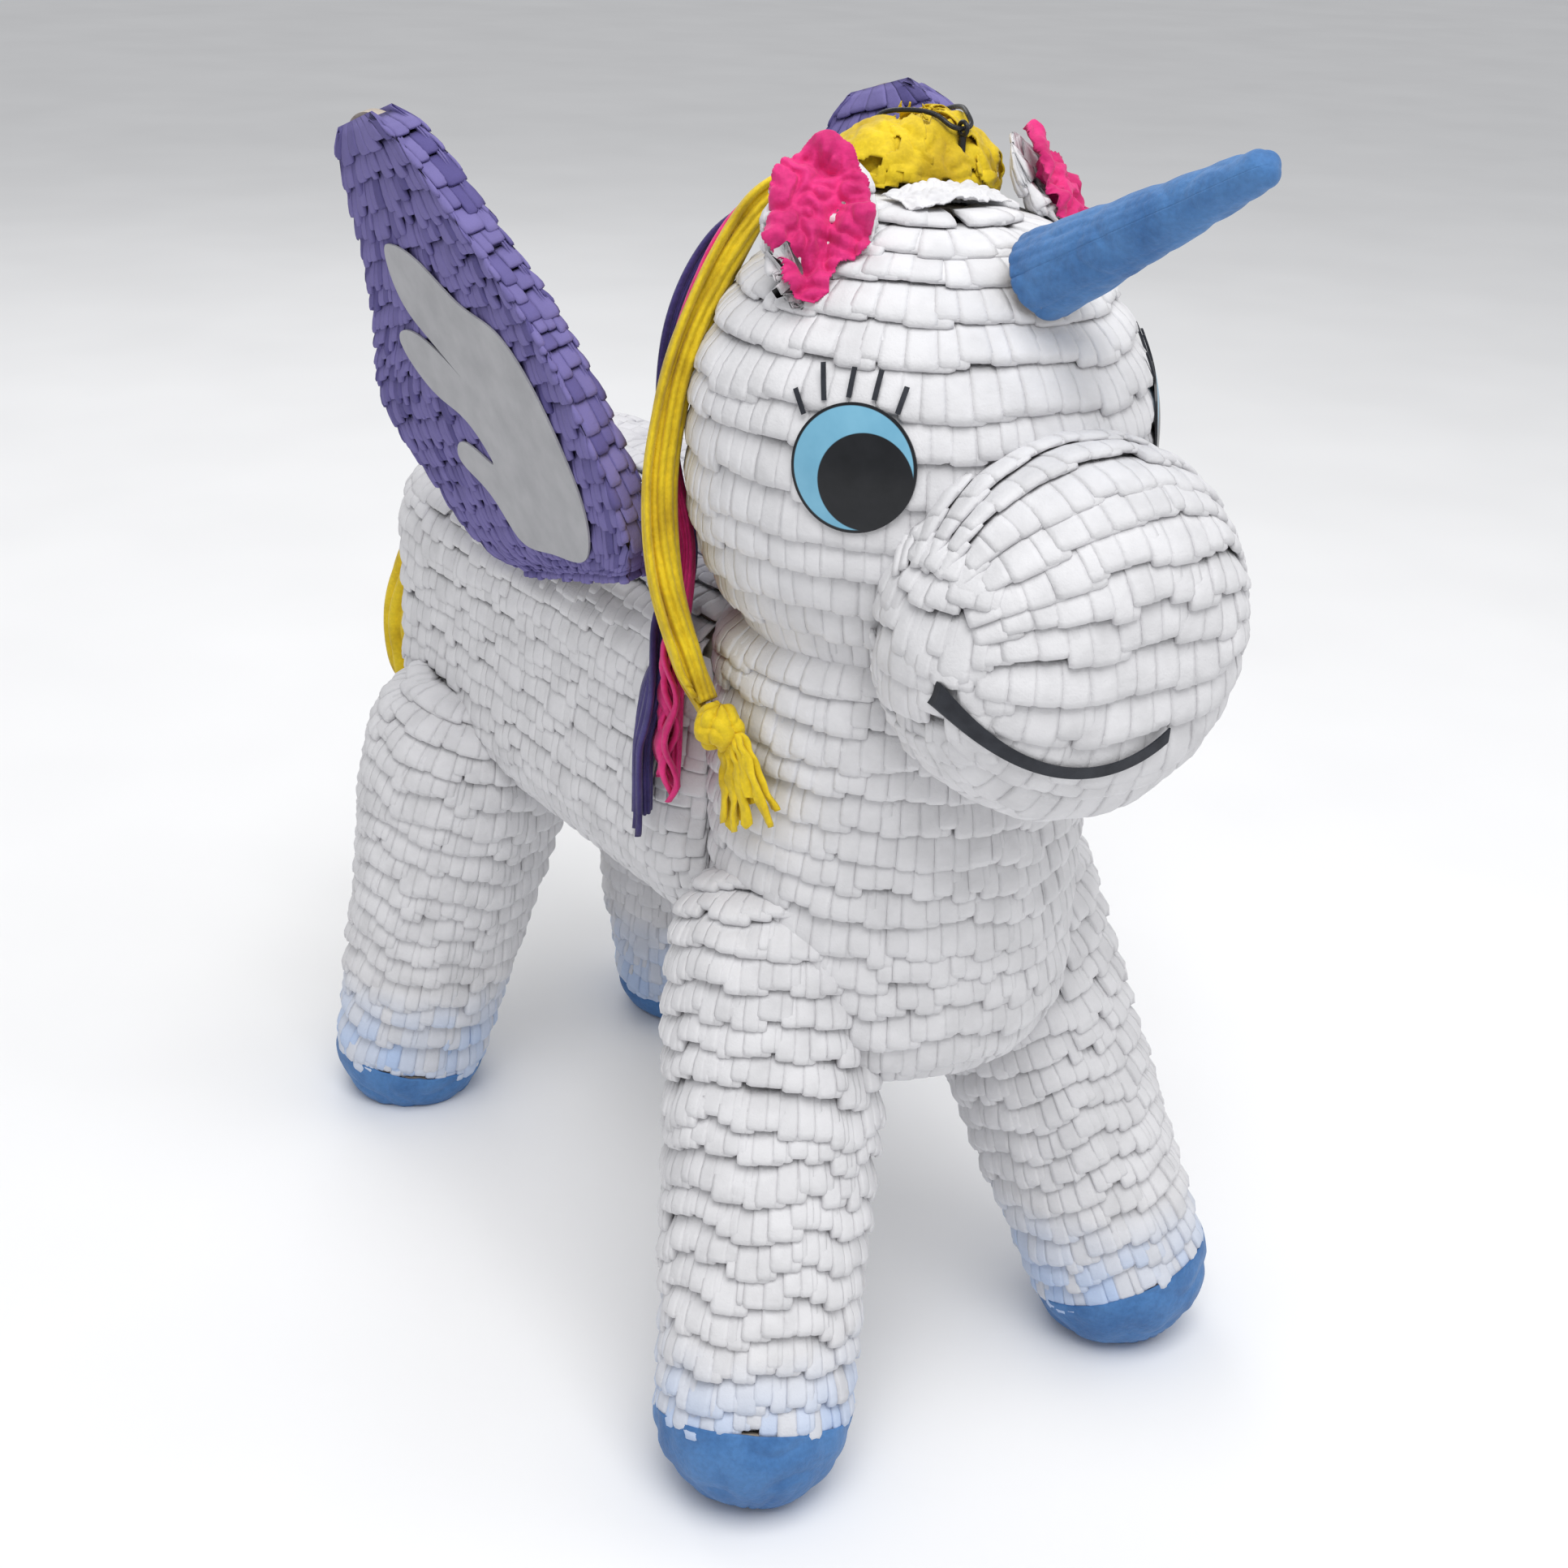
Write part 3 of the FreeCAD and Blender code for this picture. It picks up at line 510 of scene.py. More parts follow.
DOWEL = paper("dowel_wood", (0.48, 0.31, 0.17), (0.62, 0.44, 0.27), 0.5, 200)


# ------------------------------------------------------------------ spines
def steady(point):
    """An origin that is the same point everywhere."""
    return lambda u, v: np.broadcast_to(np.array(point), (*np.shape(u), 3)).copy()


def column(base, up, length, top_radius, low_radius, ahead):
    """Origin and aim round an axis: a dome over its top, its side, and a dome under it.

    v is the distance down from the top of the side, negative over the top dome."""
    base, up, ahead = np.array(base), unit(np.array(up)), np.array(ahead)
    ahead = unit(ahead - up * ahead.dot(up))
    side = np.cross(up, ahead)

    def origin(u, v):
        drop = np.clip(v, 0, length)
        return base + (length - drop)[..., None] * up

    def aim(u, v):
        tilt = np.where(v < 0, -v / top_radius, np.where(v > length, (length - v) / low_radius, 0))
        flat = np.cos(u)[..., None] * ahead + np.sin(u)[..., None] * side
        return np.cos(tilt)[..., None] * flat + np.sin(tilt)[..., None] * up

    return origin, aim


def upright(node, y, z_low, z_high, top_radius, low_radius, v_span, counts=(220, 110)):
    """A patch round a vertical axis in the middle plane; u = 0 faces forward."""
    origin, aim = column((0, y, z_low), (0, 0, 1), z_high - z_low, top_radius, low_radius,
                         (0, -1, 0))
    return Patch(node, origin, aim, (-math.pi, math.pi), v_span, counts)


# ------------------------------------------------------------------ head, muzzle, chest, torso
quarter = math.pi / 2
HEAD = upright("head_fringe", HEAD_Y, CROWN.z - HEAD_STRETCH, CROWN.z, HEAD_RADIUS, HEAD_RADIUS,
               (-HEAD_RADIUS * quarter, HEAD_STRETCH + HEAD_RADIUS * quarter))
tabbed("head_tissue", [(HEAD, {})], WHITE, "white_tissue", ["head_fringe"], seed=11,
       pitch=0.0185, width=0.0095, depth=0.005, v_start=-HEAD_RADIUS * 1.42,
       v_end=HEAD_RADIUS * 1.3, swing=0.04, wave=0.3, proud=0.0006, ragged=0.06)


def muzzle_aim(u, v):
    """u swings sideways from straight ahead and v tips down from straight up."""
    return np.stack([np.sin(u), -np.cos(u) * np.sin(v), np.cos(u) * np.cos(v)], -1)


def globe_aim(u, v):
    """u is the bearing from straight ahead and v the angle down from straight up."""
    return np.stack([np.sin(u) * np.sin(v), -np.cos(u) * np.sin(v), np.cos(v)], -1)


CHEEK_X = 0.064
SNOUT = Patch("muzzle_fringe", steady(MUZZLE), muzzle_aim, (-1.12, 1.12), (-1.6, 4.5),
              (130, 190))
CHEEKS = Patch("muzzle_fringe", steady(MUZZLE), globe_aim, (-math.pi, math.pi), (0.02, 3.12),
               (180, 110))
tabbed("muzzle_tissue",
       [(SNOUT, {"v_start": -1.5, "v_end": 4.3}),
        (CHEEKS, {"v_start": 0.1, "v_end": 3.0, "pitch": 0.013, "width": 0.010, "ragged": 0.16,
                  "wave": 0.6, "spread": 0.25,
                  "keep": lambda spots: np.abs(spots[:, 0]) > CHEEK_X})],
       WHITE, "white_tissue", ["muzzle_fringe"], seed=23, pitch=0.0178, width=0.0115,
       depth=0.0045, wave=0.3, overlap=1.45, proud=0.0012, ragged=0.07)

CHEST_FOOT, CHEST_CAP, CHEST_DOME, CHEST_UNDER = 0.05, 0.045, 0.07, 0.1
CHEST = upright("chest_fringe", CHEST_Y, CHEST_LOW.z + CHEST_FOOT, CHEST_HIGH.z - CHEST_CAP,
                CHEST_DOME, CHEST_DOME,
                (-CHEST_DOME, CHEST_HIGH.z - CHEST_LOW.z - CHEST_FOOT - CHEST_CAP + CHEST_UNDER),
                (240, 110))
tabbed("chest_tissue", [(CHEST, {})], WHITE, "white_tissue", ["chest_fringe"], seed=37,
       pitch=0.0158, width=0.0085, depth=0.005, v_start=-0.068, v_end=0.28, wave=0.35,
       ragged=0.09, proud=0.002)

TORSO_Z, TORSO_HALF = 0.315, 0.092
SPINE_END = TORSO_HIGH.y - TORSO_HALF
SPINE_START = TORSO_LOW.y + 0.002


def torso_origin(u, v):
    side = np.clip(np.abs(u), quarter, None) - quarter
    return np.stack([np.zeros_like(u), SPINE_END - side, np.full_like(u, TORSO_Z)], -1)


def torso_aim(u, v):
    turn = np.clip(u, -quarter, quarter)
    return np.stack([np.sin(turn) * np.sin(v), np.cos(turn) * np.sin(v), np.cos(v)], -1)


REACH_FORWARD = quarter + SPINE_END - SPINE_START
TORSO = Patch("torso_fringe", torso_origin, torso_aim, (-REACH_FORWARD, REACH_FORWARD),
              (0.02, 3.1), (260, 120))
tabbed("torso_tissue", [(TORSO, {})], WHITE, "white_tissue", ["torso_fringe"], seed=41,
       pitch=0.0118, width=0.0092, depth=0.003, v_start=0.03, v_end=3.05, wave=0.6,
       ragged=0.12, spread=0.2, proud=0.001, plies=PLIES[:1])


# ------------------------------------------------------------------ legs and hooves
def crease(point, size, seed):
    """0 in a crease and rising towards 1 on the facets between creases."""
    return abs(noise.noise(Vector(point) / size + Vector((seed, -seed, seed)))) * 2


def creased(patch, us, vs, depth, size, seed, folds=0, swirl=0.0, lift=0.0):
    """Heights for crumpled paper: facets, and folds that gather towards the end of v."""
    def height(u, v):
        points = patch.at(u, v)
        level = np.empty(u.shape)
        for index in np.ndindex(u.shape):
            level[index] = min(crease(points[index], size, seed) * 1.3, 1.0)
        level = (level - 1) * depth
        if folds:
            share = (v - vs[0]) / (vs[-1] - vs[0])
            ridge = np.abs(np.sin(u * folds / 2 + swirl * share + 1.7 * np.sin(u * 2 + seed)))
            level += (ridge ** 0.35 - 1) * depth * 1.4 * share ** 1.5
        return level + lift
    return height


LEG_SHAPES = {
    "front": dict(foot=(-0.116, -0.226, 0.040), lean=23, heading=50.7, length=0.217,
                  hip=0.056, ankle=0.047),
    "hind": dict(foot=(-0.100, 0.184, 0.031), lean=12.8, heading=-48.6, length=0.205,
                 hip=0.062, ankle=0.0455),
}


def leg_axis(shape, side):
    lean, heading = math.radians(shape["lean"]), math.radians(shape["heading"])
    up = np.array([math.sin(lean) * math.cos(heading) * side, math.sin(lean) * math.sin(heading),
                   math.cos(lean)])
    foot = np.array(shape["foot"]) * (side, 1, 1)
    return foot, up


for number, (end, shape) in enumerate(LEG_SHAPES.items()):
    for side, word in ((1, "right"), (-1, "left")):
        foot, up = leg_axis(shape, side)
        node = f"{end}_leg_fringe_{word}"
        origin, aim = column(foot, up, shape["length"], shape["hip"], shape["ankle"], (0, -1, 0))
        leg = Patch(node, origin, aim, (-math.pi, math.pi),
                    (-shape["hip"] * 1.4, shape["length"]), (130, 110), 0.16)
        seed = 50 + 10 * number + (side < 0)
        tabbed(f"{end}_leg_tissue_{word}", [(leg, {})], WHITE, "white_tissue", [node], seed=seed,
               pitch=0.0162, width=0.0078, depth=0.006, v_start=-shape["hip"] * 1.3,
               v_end=shape["length"] - 0.0195, wave=0.4, ragged=0.09, spread=0.16,
               proud=0.0025)
        node = f"{end}_hoof_crepe_{word}"
        hoof = Patch(node, origin, aim, (-math.pi, math.pi),
                     (shape["length"] - 0.001, shape["length"] + shape["ankle"] * quarter),
                     (120, 60), 0.12)
        us = np.linspace(-math.pi, math.pi, 181)
        vs = np.linspace(hoof.v_span[0], hoof.v_span[1] - 0.0005, 70)
        verts, faces = sheet(hoof, us, vs,
                             creased(hoof, us, vs, 0.0014, 0.022, seed, 18, 1.2, lift=0.0012),
                             0.0012)
        verts[:, 2] = np.where(verts[:, 2] < 0, verts[:, 2] * 0.1, verts[:, 2])
        piece(f"{end}_hoof_paper_{word}", verts, faces, BLUE, slot="blue_crepe",
              stands_for=[node])

# ------------------------------------------------------------------ horn
HORN_RISE = math.radians(27.5)
HORN_LENGTH, HORN_BASE, HORN_TIP = 0.1255, 0.0195, 0.008
horn_up = np.array([0, -math.cos(HORN_RISE), math.sin(HORN_RISE)])
horn_low, horn_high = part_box("horn_crepe")
horn_tip = np.array([0, horn_low.y + HORN_TIP, horn_high.z - HORN_TIP])
origin, aim = column(horn_tip - horn_up * HORN_LENGTH, horn_up, HORN_LENGTH, HORN_TIP, HORN_BASE,
                     (1, 0, 0))
HORN = Patch("horn_crepe", origin, aim, (-math.pi, math.pi), (-HORN_TIP * quarter, HORN_LENGTH),
             (90, 130), 0.08)
us, vs = np.linspace(-math.pi, math.pi, 121), np.linspace(*HORN.v_span, 150)
verts, faces = sheet(HORN, us, vs, creased(HORN, us, vs, 0.0008, 0.016, 7, 14, 2.0), 0.001)
piece("horn_paper", verts, faces, BLUE, slot="blue_crepe", stands_for=["horn_crepe"])


# ------------------------------------------------------------------ wings
WING_SLOPE = 0.30                   # how far the rows' spine leans back for each unit of rise
WING_TIP, WING_ROOT = 0.002, 0.008  # the spine's ends, in from the card's tip and root
WING_HALF = 0.0095                  # half the wing's thickness, tissue included


def wing_frame(word):
    """The wing plate's root, normal, and two directions in its plane, from the card node."""
    points = np.array([vert.co for vert in NODES[f"wing_card_{word}"].data.vertices])
    middle = points.mean(0)
    _, _, ways = np.linalg.svd(points - middle, full_matrices=False)
    normal = ways[2] * np.sign(ways[2][0]) * (1 if word == "left" else -1)
    back = unit(np.array([0, 1.0, 0]) - normal * normal[1])
    rise = np.cross(back, normal)
    rise *= np.sign(rise[2])
    return points, middle, normal, back, rise


def wing_patch(word):
    """Rows across the wing from tip to root; u runs round the plate, over both faces."""
    points, middle, normal, back, rise = wing_frame(word)
    search = search_tree(f"wing_fringe_{word}")
    spine = unit(rise + back * WING_SLOPE)
    across = np.cross(spine, normal)
    across *= np.sign(across[1])
    places = (points - middle) @ spine
    levels = np.linspace(places.max() - WING_TIP, places.min() + WING_ROOT, 60)
    edges = []
    for level in levels:
        row = []
        for way in (-1, 1):
            start = Vector(middle + spine * level + across * way * 0.4)
            hit, _, _, _ = search.ray_cast(start, Vector(-across * way), 0.8)
            row.append(np.nan if hit is None else (np.array(hit) - middle) @ across)
        edges.append(row)
    edges = np.array(edges)
    keep = ~np.isnan(edges).any(1)
    levels, edges = levels[keep], edges[keep]
    order = np.argsort(levels)
    levels, edges = levels[order], edges[order]

    def ends(v):
        front = np.interp(-v, levels, edges[:, 0])
        rear = np.interp(-v, levels, edges[:, 1])
        return front + WING_HALF, np.maximum(rear - WING_HALF, front + WING_HALF + 0.002)

    def origin(u, v):
        front, rear = ends(v)
        share = np.where(u < 1, u, np.where(u < 2, 1, np.where(u < 3, 3 - u, 0)))
        where = front + (rear - front) * np.clip(share, 0, 1)
        return middle - spine * v[..., None] + across * where[..., None]

    def aim(u, v):
        angle = np.where(u < 1, 0, np.where(u < 2, (u - 1) * math.pi,
                                            np.where(u < 3, math.pi, math.pi * (u - 2))))
        return np.cos(angle)[..., None] * normal + np.sin(angle)[..., None] * across

    return Patch(f"wing_fringe_{word}", origin, aim, (0, 3.999), (-levels[-1], -levels[0]),
                 (200, 120), 0.03, 0.2)


for seed, word in ((71, "right"), (73, "left")):
    tabbed(f"wing_tissue_{word}", [(wing_patch(word), {})], PURPLE, "purple_tissue",
           [f"wing_fringe_{word}"], seed=seed, pitch=0.0135, width=0.0062, depth=0.0035,
           v_start=-0.3, v_end=0.3, ragged=0.14, spread=0.18, overlap=1.4, plies=PLIES[:1])


# ------------------------------------------------------------------ ears
def mirrored(vector, side):
    return unit(np.array(vector, float) * (side, 1, 1))


def plate(node, middle, along, across, facing, half_u, half_v, counts):
    """A patch seen from the front: u across and v down a piece that faces one way."""
    middle = np.array(middle)

    def origin(u, v):
        return middle + u[..., None] * across - v[..., None] * along - facing * 0.03

    def aim(u, v):
        return np.broadcast_to(facing, (*np.shape(u), 3)).copy()

    return Patch(node, origin, aim, (-half_u, half_u), (-half_v, half_v), counts, 0.08, 0.05)


def box_middle(node):
    low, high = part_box(node)
    return np.array((low + high) / 2)


def crumpled(patch, us, vs, depth, size, seed, thick, keep=None, offset=0.0):
    def height(u, v):
        return creased(patch, us, vs, depth, size, seed)(u, v) \
            + creased(patch, us, vs, depth * 0.5, size * 0.4, seed + 9)(u, v) + offset
    return sheet(patch, us, vs, height, thick, keep)


def ear_outline(u, v):
    """A ragged leaf: full above its middle and drawn in to a point below."""
    half = 0.026 * np.clip(1 - (np.clip(v, 0, None) / 0.047) ** 1.5, 0, 1)
    rough = np.array([noise.noise(Vector((a, b, 0.4)) / 0.009)
                      for a, b in zip(u.ravel(), v.ravel())]).reshape(u.shape)
    return np.abs(u - 0.004) < half + 0.006 * rough


def behind(middle, facing):
    return lambda spots: (spots - middle) @ facing < 0.003


for side, word in ((1, "right"), (-1, "left")):
    along, facing = mirrored((28, 32, 60), side), mirrored((-48, -62, 55), side)
    facing = unit(facing - along * along.dot(facing))
    across = np.cross(along, facing)
    lining, card = f"ear_lining_{word}", f"ear_card_{word}"
    bowl = plate(lining, box_middle(lining), along, across, facing, 0.032, 0.05, (110, 150))
    us, vs = np.linspace(*bowl.u_span, 100), np.linspace(*bowl.v_span, 140)
    verts, faces = crumpled(bowl, us, vs, 0.0065, 0.019, 5 + side, 0.0008,
                            lambda u, v: ear_outline(u * side, v), 0.0085)
    piece(f"ear_crepe_{word}", verts, faces, PINK, slot="pink_crepe", stands_for=[lining])
    origin, aim = column(box_middle(card) - along * 0.02, along, 0.04, 0.02, 0.02, -facing)
    back = Patch(card, origin, aim, (-math.pi, math.pi), (-0.031, 0.065), (110, 80), 0.06, 0.15)
    tabbed(f"ear_tissue_{word}", [(back, {})], WHITE, "white_tissue", [card], seed=81 + side,
           pitch=0.012, width=0.0065, depth=0.003, v_start=-0.03, v_end=0.06, ragged=0.2,
           spread=0.2, proud=0.0015, keep=behind(box_middle(card), facing))


# ------------------------------------------------------------------ crepe strands
def smooth_route(points, count):
    """Points evenly spread along a smooth curve through a route."""
    points = np.array(points, float)
    ends = np.vstack([2 * points[0] - points[1], points, 2 * points[-1] - points[-2]])
    out = []
    for t in np.linspace(0, len(points) - 1 - 1e-9, count):
        k, s = int(t), t - int(t)
        a, b, c, d = ends[k:k + 4]
        out.append(0.5 * (2 * b + (c - a) * s + (2 * a - 5 * b + 4 * c - d) * s * s
                          + (3 * b - a - 3 * c + d) * s ** 3))
    return np.array(out)


class Strand:
    """A route with a direction away from a hub and one to the side at every step."""

    def __init__(self, route, hub, count=90):
        spots = smooth_route([(*point, share) for point, share in route], count)
        self.centre, self.share = spots[:, :3] * MM, spots[:, 3]
        self.along = unit(np.gradient(self.centre, axis=0))
        away = self.centre - np.array(hub) * MM
        away -= self.along * (away * self.along).sum(1, keepdims=True)
        self.away = unit(away)
        self.side = np.cross(self.along, self.away)
        self.step = np.linspace(0, 1, count)

    def tube(self, wide, thick, pleats=9, depth=0.16, seed=0.0, around=72):
        """A closed pleated tube."""
        angle = np.linspace(0, TURN, around, endpoint=False)
        drift = 0.9 * ripple(self.step, 4, seed, 1)
        ridge = np.abs(np.sin(pleats / 2 * (angle[None] + drift[:, None]) + seed)) ** 0.6
        size = self.share[:, None] * (1 - depth * (1 - ridge))
        verts = (self.centre[:, None] + self.side[:, None] * (np.cos(angle) * size
                 * wide / 2)[..., None] + self.away[:, None] * (np.sin(angle) * size
                 * thick / 2)[..., None])
        return verts.reshape(-1, 3), tube_faces(len(self.step), around)

    def ribbon(self, dice, place, high, half, thick, start=0.0, end=1.0, frill=0.0, splay=0.0,
               curl=0.5, tail=0.0):
        """One flat streamer: place is from -1 to 1 across the strand, high is off its middle."""
        around, count = 12, len(self.step)
        angle = np.linspace(0, TURN, around, endpoint=False)
        phase = dice.uniform(0, 50)
        t = self.step
        sway = ripple(t, 5, phase, 0)
        turn = curl * ripple(t, 4, phase, 7)
        late = np.clip((t - 0.55) / 0.45, 0, 1)
        ruffle = frill * late * np.sin(t * 60 + phase)
        centre = (self.centre + self.side * (place * self.share * 0.01 + sway * 0.0022
                                             + splay * place * late ** 2)[:, None]
                  + self.away * (high * self.share + ruffle)[:, None])
        centre = centre + self.along * (tail * late ** 3)[:, None]
        flat = np.cos(turn)[:, None] * self.side + np.sin(turn)[:, None] * self.away
        up = -np.sin(turn)[:, None] * self.side + np.cos(turn)[:, None] * self.away
        width = half * (0.75 + 0.25 * self.share) * (1 + 0.25 * sway)
        crimp = 0.25 * np.abs(np.sin(t * 40 + phase)) * frill / 0.003 if frill else 0
        width = width * (1 + crimp)
        tip = np.clip((1.0 - t) / 0.02, 0.25, 1) * np.clip((t + 0.004) / 0.02, 0.3, 1)
        across = np.cos(angle) * (width * tip)[:, None]
        lift = np.sin(angle) * thick * (1 + 0.4 * np.cos(3 * angle))
        verts = (centre[:, None] + flat[:, None] * across[..., None]
                 + up[:, None] * lift[None, :, None])
        return verts.reshape(-1, 3), tube_faces(count, around)


def tube_faces(rings, around):
    faces = [(ring * around + k, ring * around + (k + 1) % around,
              (ring + 1) * around + (k + 1) % around, (ring + 1) * around + k)
             for ring in range(rings - 1) for k in range(around)]
    faces.append(tuple(range(around - 1, -1, -1)))
    faces.append(tuple((rings - 1) * around + k for k in range(around)))
    return faces


HEAD_HUB = (0, -162, 482)
STRANDS = {
    "yellow": ([((-26, -104, 592), 0.6), ((-50, -100, 577), 0.9), ((-80, -100, 528), 1),
                ((-97, -104, 476), 1), ((-106, -121, 428), 1), ((-103, -136, 392), 0.9),
                ((-100, -148, 374), 0.7)], YELLOW, dict(wide=0.033, thick=0.020)),
    "pink": ([((-26, -86, 586), 0.5), ((-52, -82, 566), 0.5), ((-76, -84, 522), 0.5),
              ((-84, -90, 476), 0.55), ((-84, -104, 430), 0.8), ((-94, -112, 382), 1),
              ((-94, -108, 318), 1)], PINK,
             dict(frill=0.004, splay=0.008, wide=0.024, thick=0.012)),
    "purple": ([((-16, -70, 578), 0.5), ((-46, -62, 558), 0.5), ((-66, -60, 520), 0.5),
                ((-72, -66, 470), 0.5), ((-70, -84, 425), 0.6), ((-92, -100, 385), 0.9),
                ((-99, -94, 340), 1), ((-98, -90, 298), 1)], VIOLET,
               dict(splay=0.012, wide=0.021, thick=0.012)),
}
SLOT_OF = {"yellow": "yellow_crepe", "pink": "pink_crepe", "purple": "dark_purple_crepe"}


def strand_parts(route, hub, dice, wide, thick, ribbons, splay=0.0, frill=0.0, tail=0.012):
    run = Strand(route, hub)
    parts = [run.tube(wide * 0.86, thick * 0.7, 9, 0.2, dice.uniform(0, 9))]
    for place in np.linspace(-0.8, 0.8, ribbons):
        parts.append(run.ribbon(dice, place * wide / 0.02, thick * dice.uniform(0.22, 0.38),
                                wide * dice.uniform(0.13, 0.2), 0.0013, splay=splay, frill=frill,
                                tail=tail * dice.uniform(-1, 1)))
    return parts


for seed, (colour, (route, material, style)) in enumerate(STRANDS.items()):
    dice = np.random.default_rng(200 + seed)
    parts = strand_parts(route, HEAD_HUB, dice, ribbons=9, **style)
    piece(f"mane_crepe_{colour}", *joined(*parts), material, slot=SLOT_OF[colour],
          stands_for=[f"mane_{colour}"])


def globe(node, middle, reach, counts=(90, 60)):
    """A patch over a round piece: u is the bearing and v the angle down from its top."""
    return Patch(node, steady(middle), globe_aim, (-math.pi, math.pi), (0.02, math.pi - 0.02),
                 counts, reach)


def gathered(patch, depth, size, seed, thick, folds, along_x=False):
    """A crumpled cover with long folds, round the piece or from side to side over it."""
    us, vs = np.linspace(*patch.u_span, 150), np.linspace(*patch.v_span, 90)

    def height(u, v):
        points = patch.at(u, v)
        level = creased(patch, us, vs, depth * 0.6, size, seed)(u, v)
        middle = points.reshape(-1, 3).mean(0)
        bend = np.arctan2(points[..., 2] - middle[2] + 0.02, points[..., 1] - middle[1])
        wobble = np.array([noise.noise(Vector(point) / 0.03) for point in points.reshape(-1, 3)])
        turn = (bend if along_x else u) * folds + 2.4 * wobble.reshape(u.shape)
        return level + (np.abs(np.sin(turn)) ** 0.5 - 1) * depth
    return sheet(patch, us, vs, height, thick)


def wander(u, v, scale, seed):
    """Smooth noise over a grid, with features one over the scale apart."""
    return np.array([noise.noise(Vector((a * scale, b * scale, seed)))
                     for a, b in zip(u.ravel(), v.ravel())]).reshape(u.shape)


def ragged_patch(us, vs, rough, seed):
    """True inside the limits of a grid, with an outline that wanders in from them."""
    def keep(u, v):
        edge = np.minimum(np.minimum(u - us[0], us[-1] - u), np.minimum(v - vs[0], vs[-1] - v))
        return edge > rough * (0.5 + wander(u, v, 4, seed))
    return keep


KNOT = globe("mane_knot", box_middle("mane_knot"), 0.03)
TASSEL_ROUTE = [((-99, -166, 364), 0.5), ((-98, -173, 350), 0.9), ((-97, -179, 330), 1.2)]
dice = np.random.default_rng(210)
tassel = Strand(TASSEL_ROUTE, (0, -160, 350), 40)
streamers = [tassel.ribbon(dice, place, high, 0.0032, 0.0012, splay=0.007,
                           tail=0.010 * dice.uniform(-1, 1), curl=1.5)
             for place in np.linspace(-0.9, 0.9, 5) for high in (0.002, -0.002)]
piece("mane_tassel_crepe", *joined(*streamers), YELLOW, slot="yellow_crepe",
      stands_for=["mane_tassel"])
piece("mane_knot_crepe", *gathered(KNOT, 0.0028, 0.010, 3, 0.001, 3), YELLOW,
      slot="yellow_crepe", stands_for=["mane_knot"])
BUN = globe("topknot", box_middle("topknot") - np.array((0, 0, 0.012)), 0.09, (120, 80))
layers = [gathered(BUN, 0.0042, 0.020, 8, 0.001, 7, along_x=True)]
for number, (low_u, high_u) in enumerate(((-2.6, -0.2), (-1.2, 1.0), (0.3, 2.8), (1.6, 3.1))):
    us, vs = np.linspace(low_u, high_u, 70), np.linspace(0.15, 1.5, 50)
    layers.append(crumpled(BUN, us, vs, 0.0035, 0.026, 31 + number, 0.0007,
                           ragged_patch(us, vs, 0.35, number), 0.003 + 0.001 * number))
piece("topknot_crepe", *joined(*layers), YELLOW, slot="yellow_crepe", stands_for=["topknot"])

TAIL_ROUTE = [((-8, 226, 336), 0.4), ((-8, 262, 338), 0.5), ((-9, 295, 320), 0.62),
              ((-10, 317, 288), 0.85), ((-10, 329, 250), 1), ((-10, 329, 214), 0.9),
              ((-10, 325, 192), 0.45)]
tail = Strand(TAIL_ROUTE, (-10, 200, 230), 80)
piece("tail_crepe", *joined(tail.tube(0.060, 0.054, 13, 0.22, 2.0, 120)), YELLOW,
      slot="yellow_crepe", stands_for=["tail"])


# ------------------------------------------------------------------ fill flap
def torn_edge(patch, rough, seed):
    """True inside an outline that wanders in from the patch's own edges, all but its first row."""
    (u0, u1), (_, v1) = patch.u_span, patch.v_span

    def keep(u, v):
        edge = np.minimum(np.minimum(u - u0, u1 - u), v1 - v)
        return edge > rough * (0.5 + wander(u, v, 130, seed))
    return keep


flap_low, flap_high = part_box("fill_flap")
FLAP = Patch("fill_flap",
             lambda u, v: np.stack([u, flap_high.y - v, np.full_like(u, CROWN.z)], -1),
             lambda u, v: np.stack([np.zeros_like(u), np.zeros_like(u), np.ones_like(u)], -1),
             (flap_low.x, flap_high.x), (0.0, flap_high.y - flap_low.y), (80, 50), 0.15)
us, vs = np.linspace(*FLAP.u_span, 110), np.linspace(*FLAP.v_span, 60)
verts, faces = crumpled(FLAP, us, vs, 0.0022, 0.012, 4, 0.0006, torn_edge(FLAP, 0.003, 2),
                        offset=0.0008)
piece("flap_tissue", verts, faces, WHITE, body="flap", slot="white_tissue",
      stands_for=["fill_flap"])


# ------------------------------------------------------------------ printed eyes
EYE_BEARING, EYE_RISE, EYE_RADIUS = math.radians(52.7), math.radians(8.6), 0.0265
PUPIL_FORWARD, PUPIL_DOWN, PUPIL_RADIUS = 0.0057, 0.005, 0.020


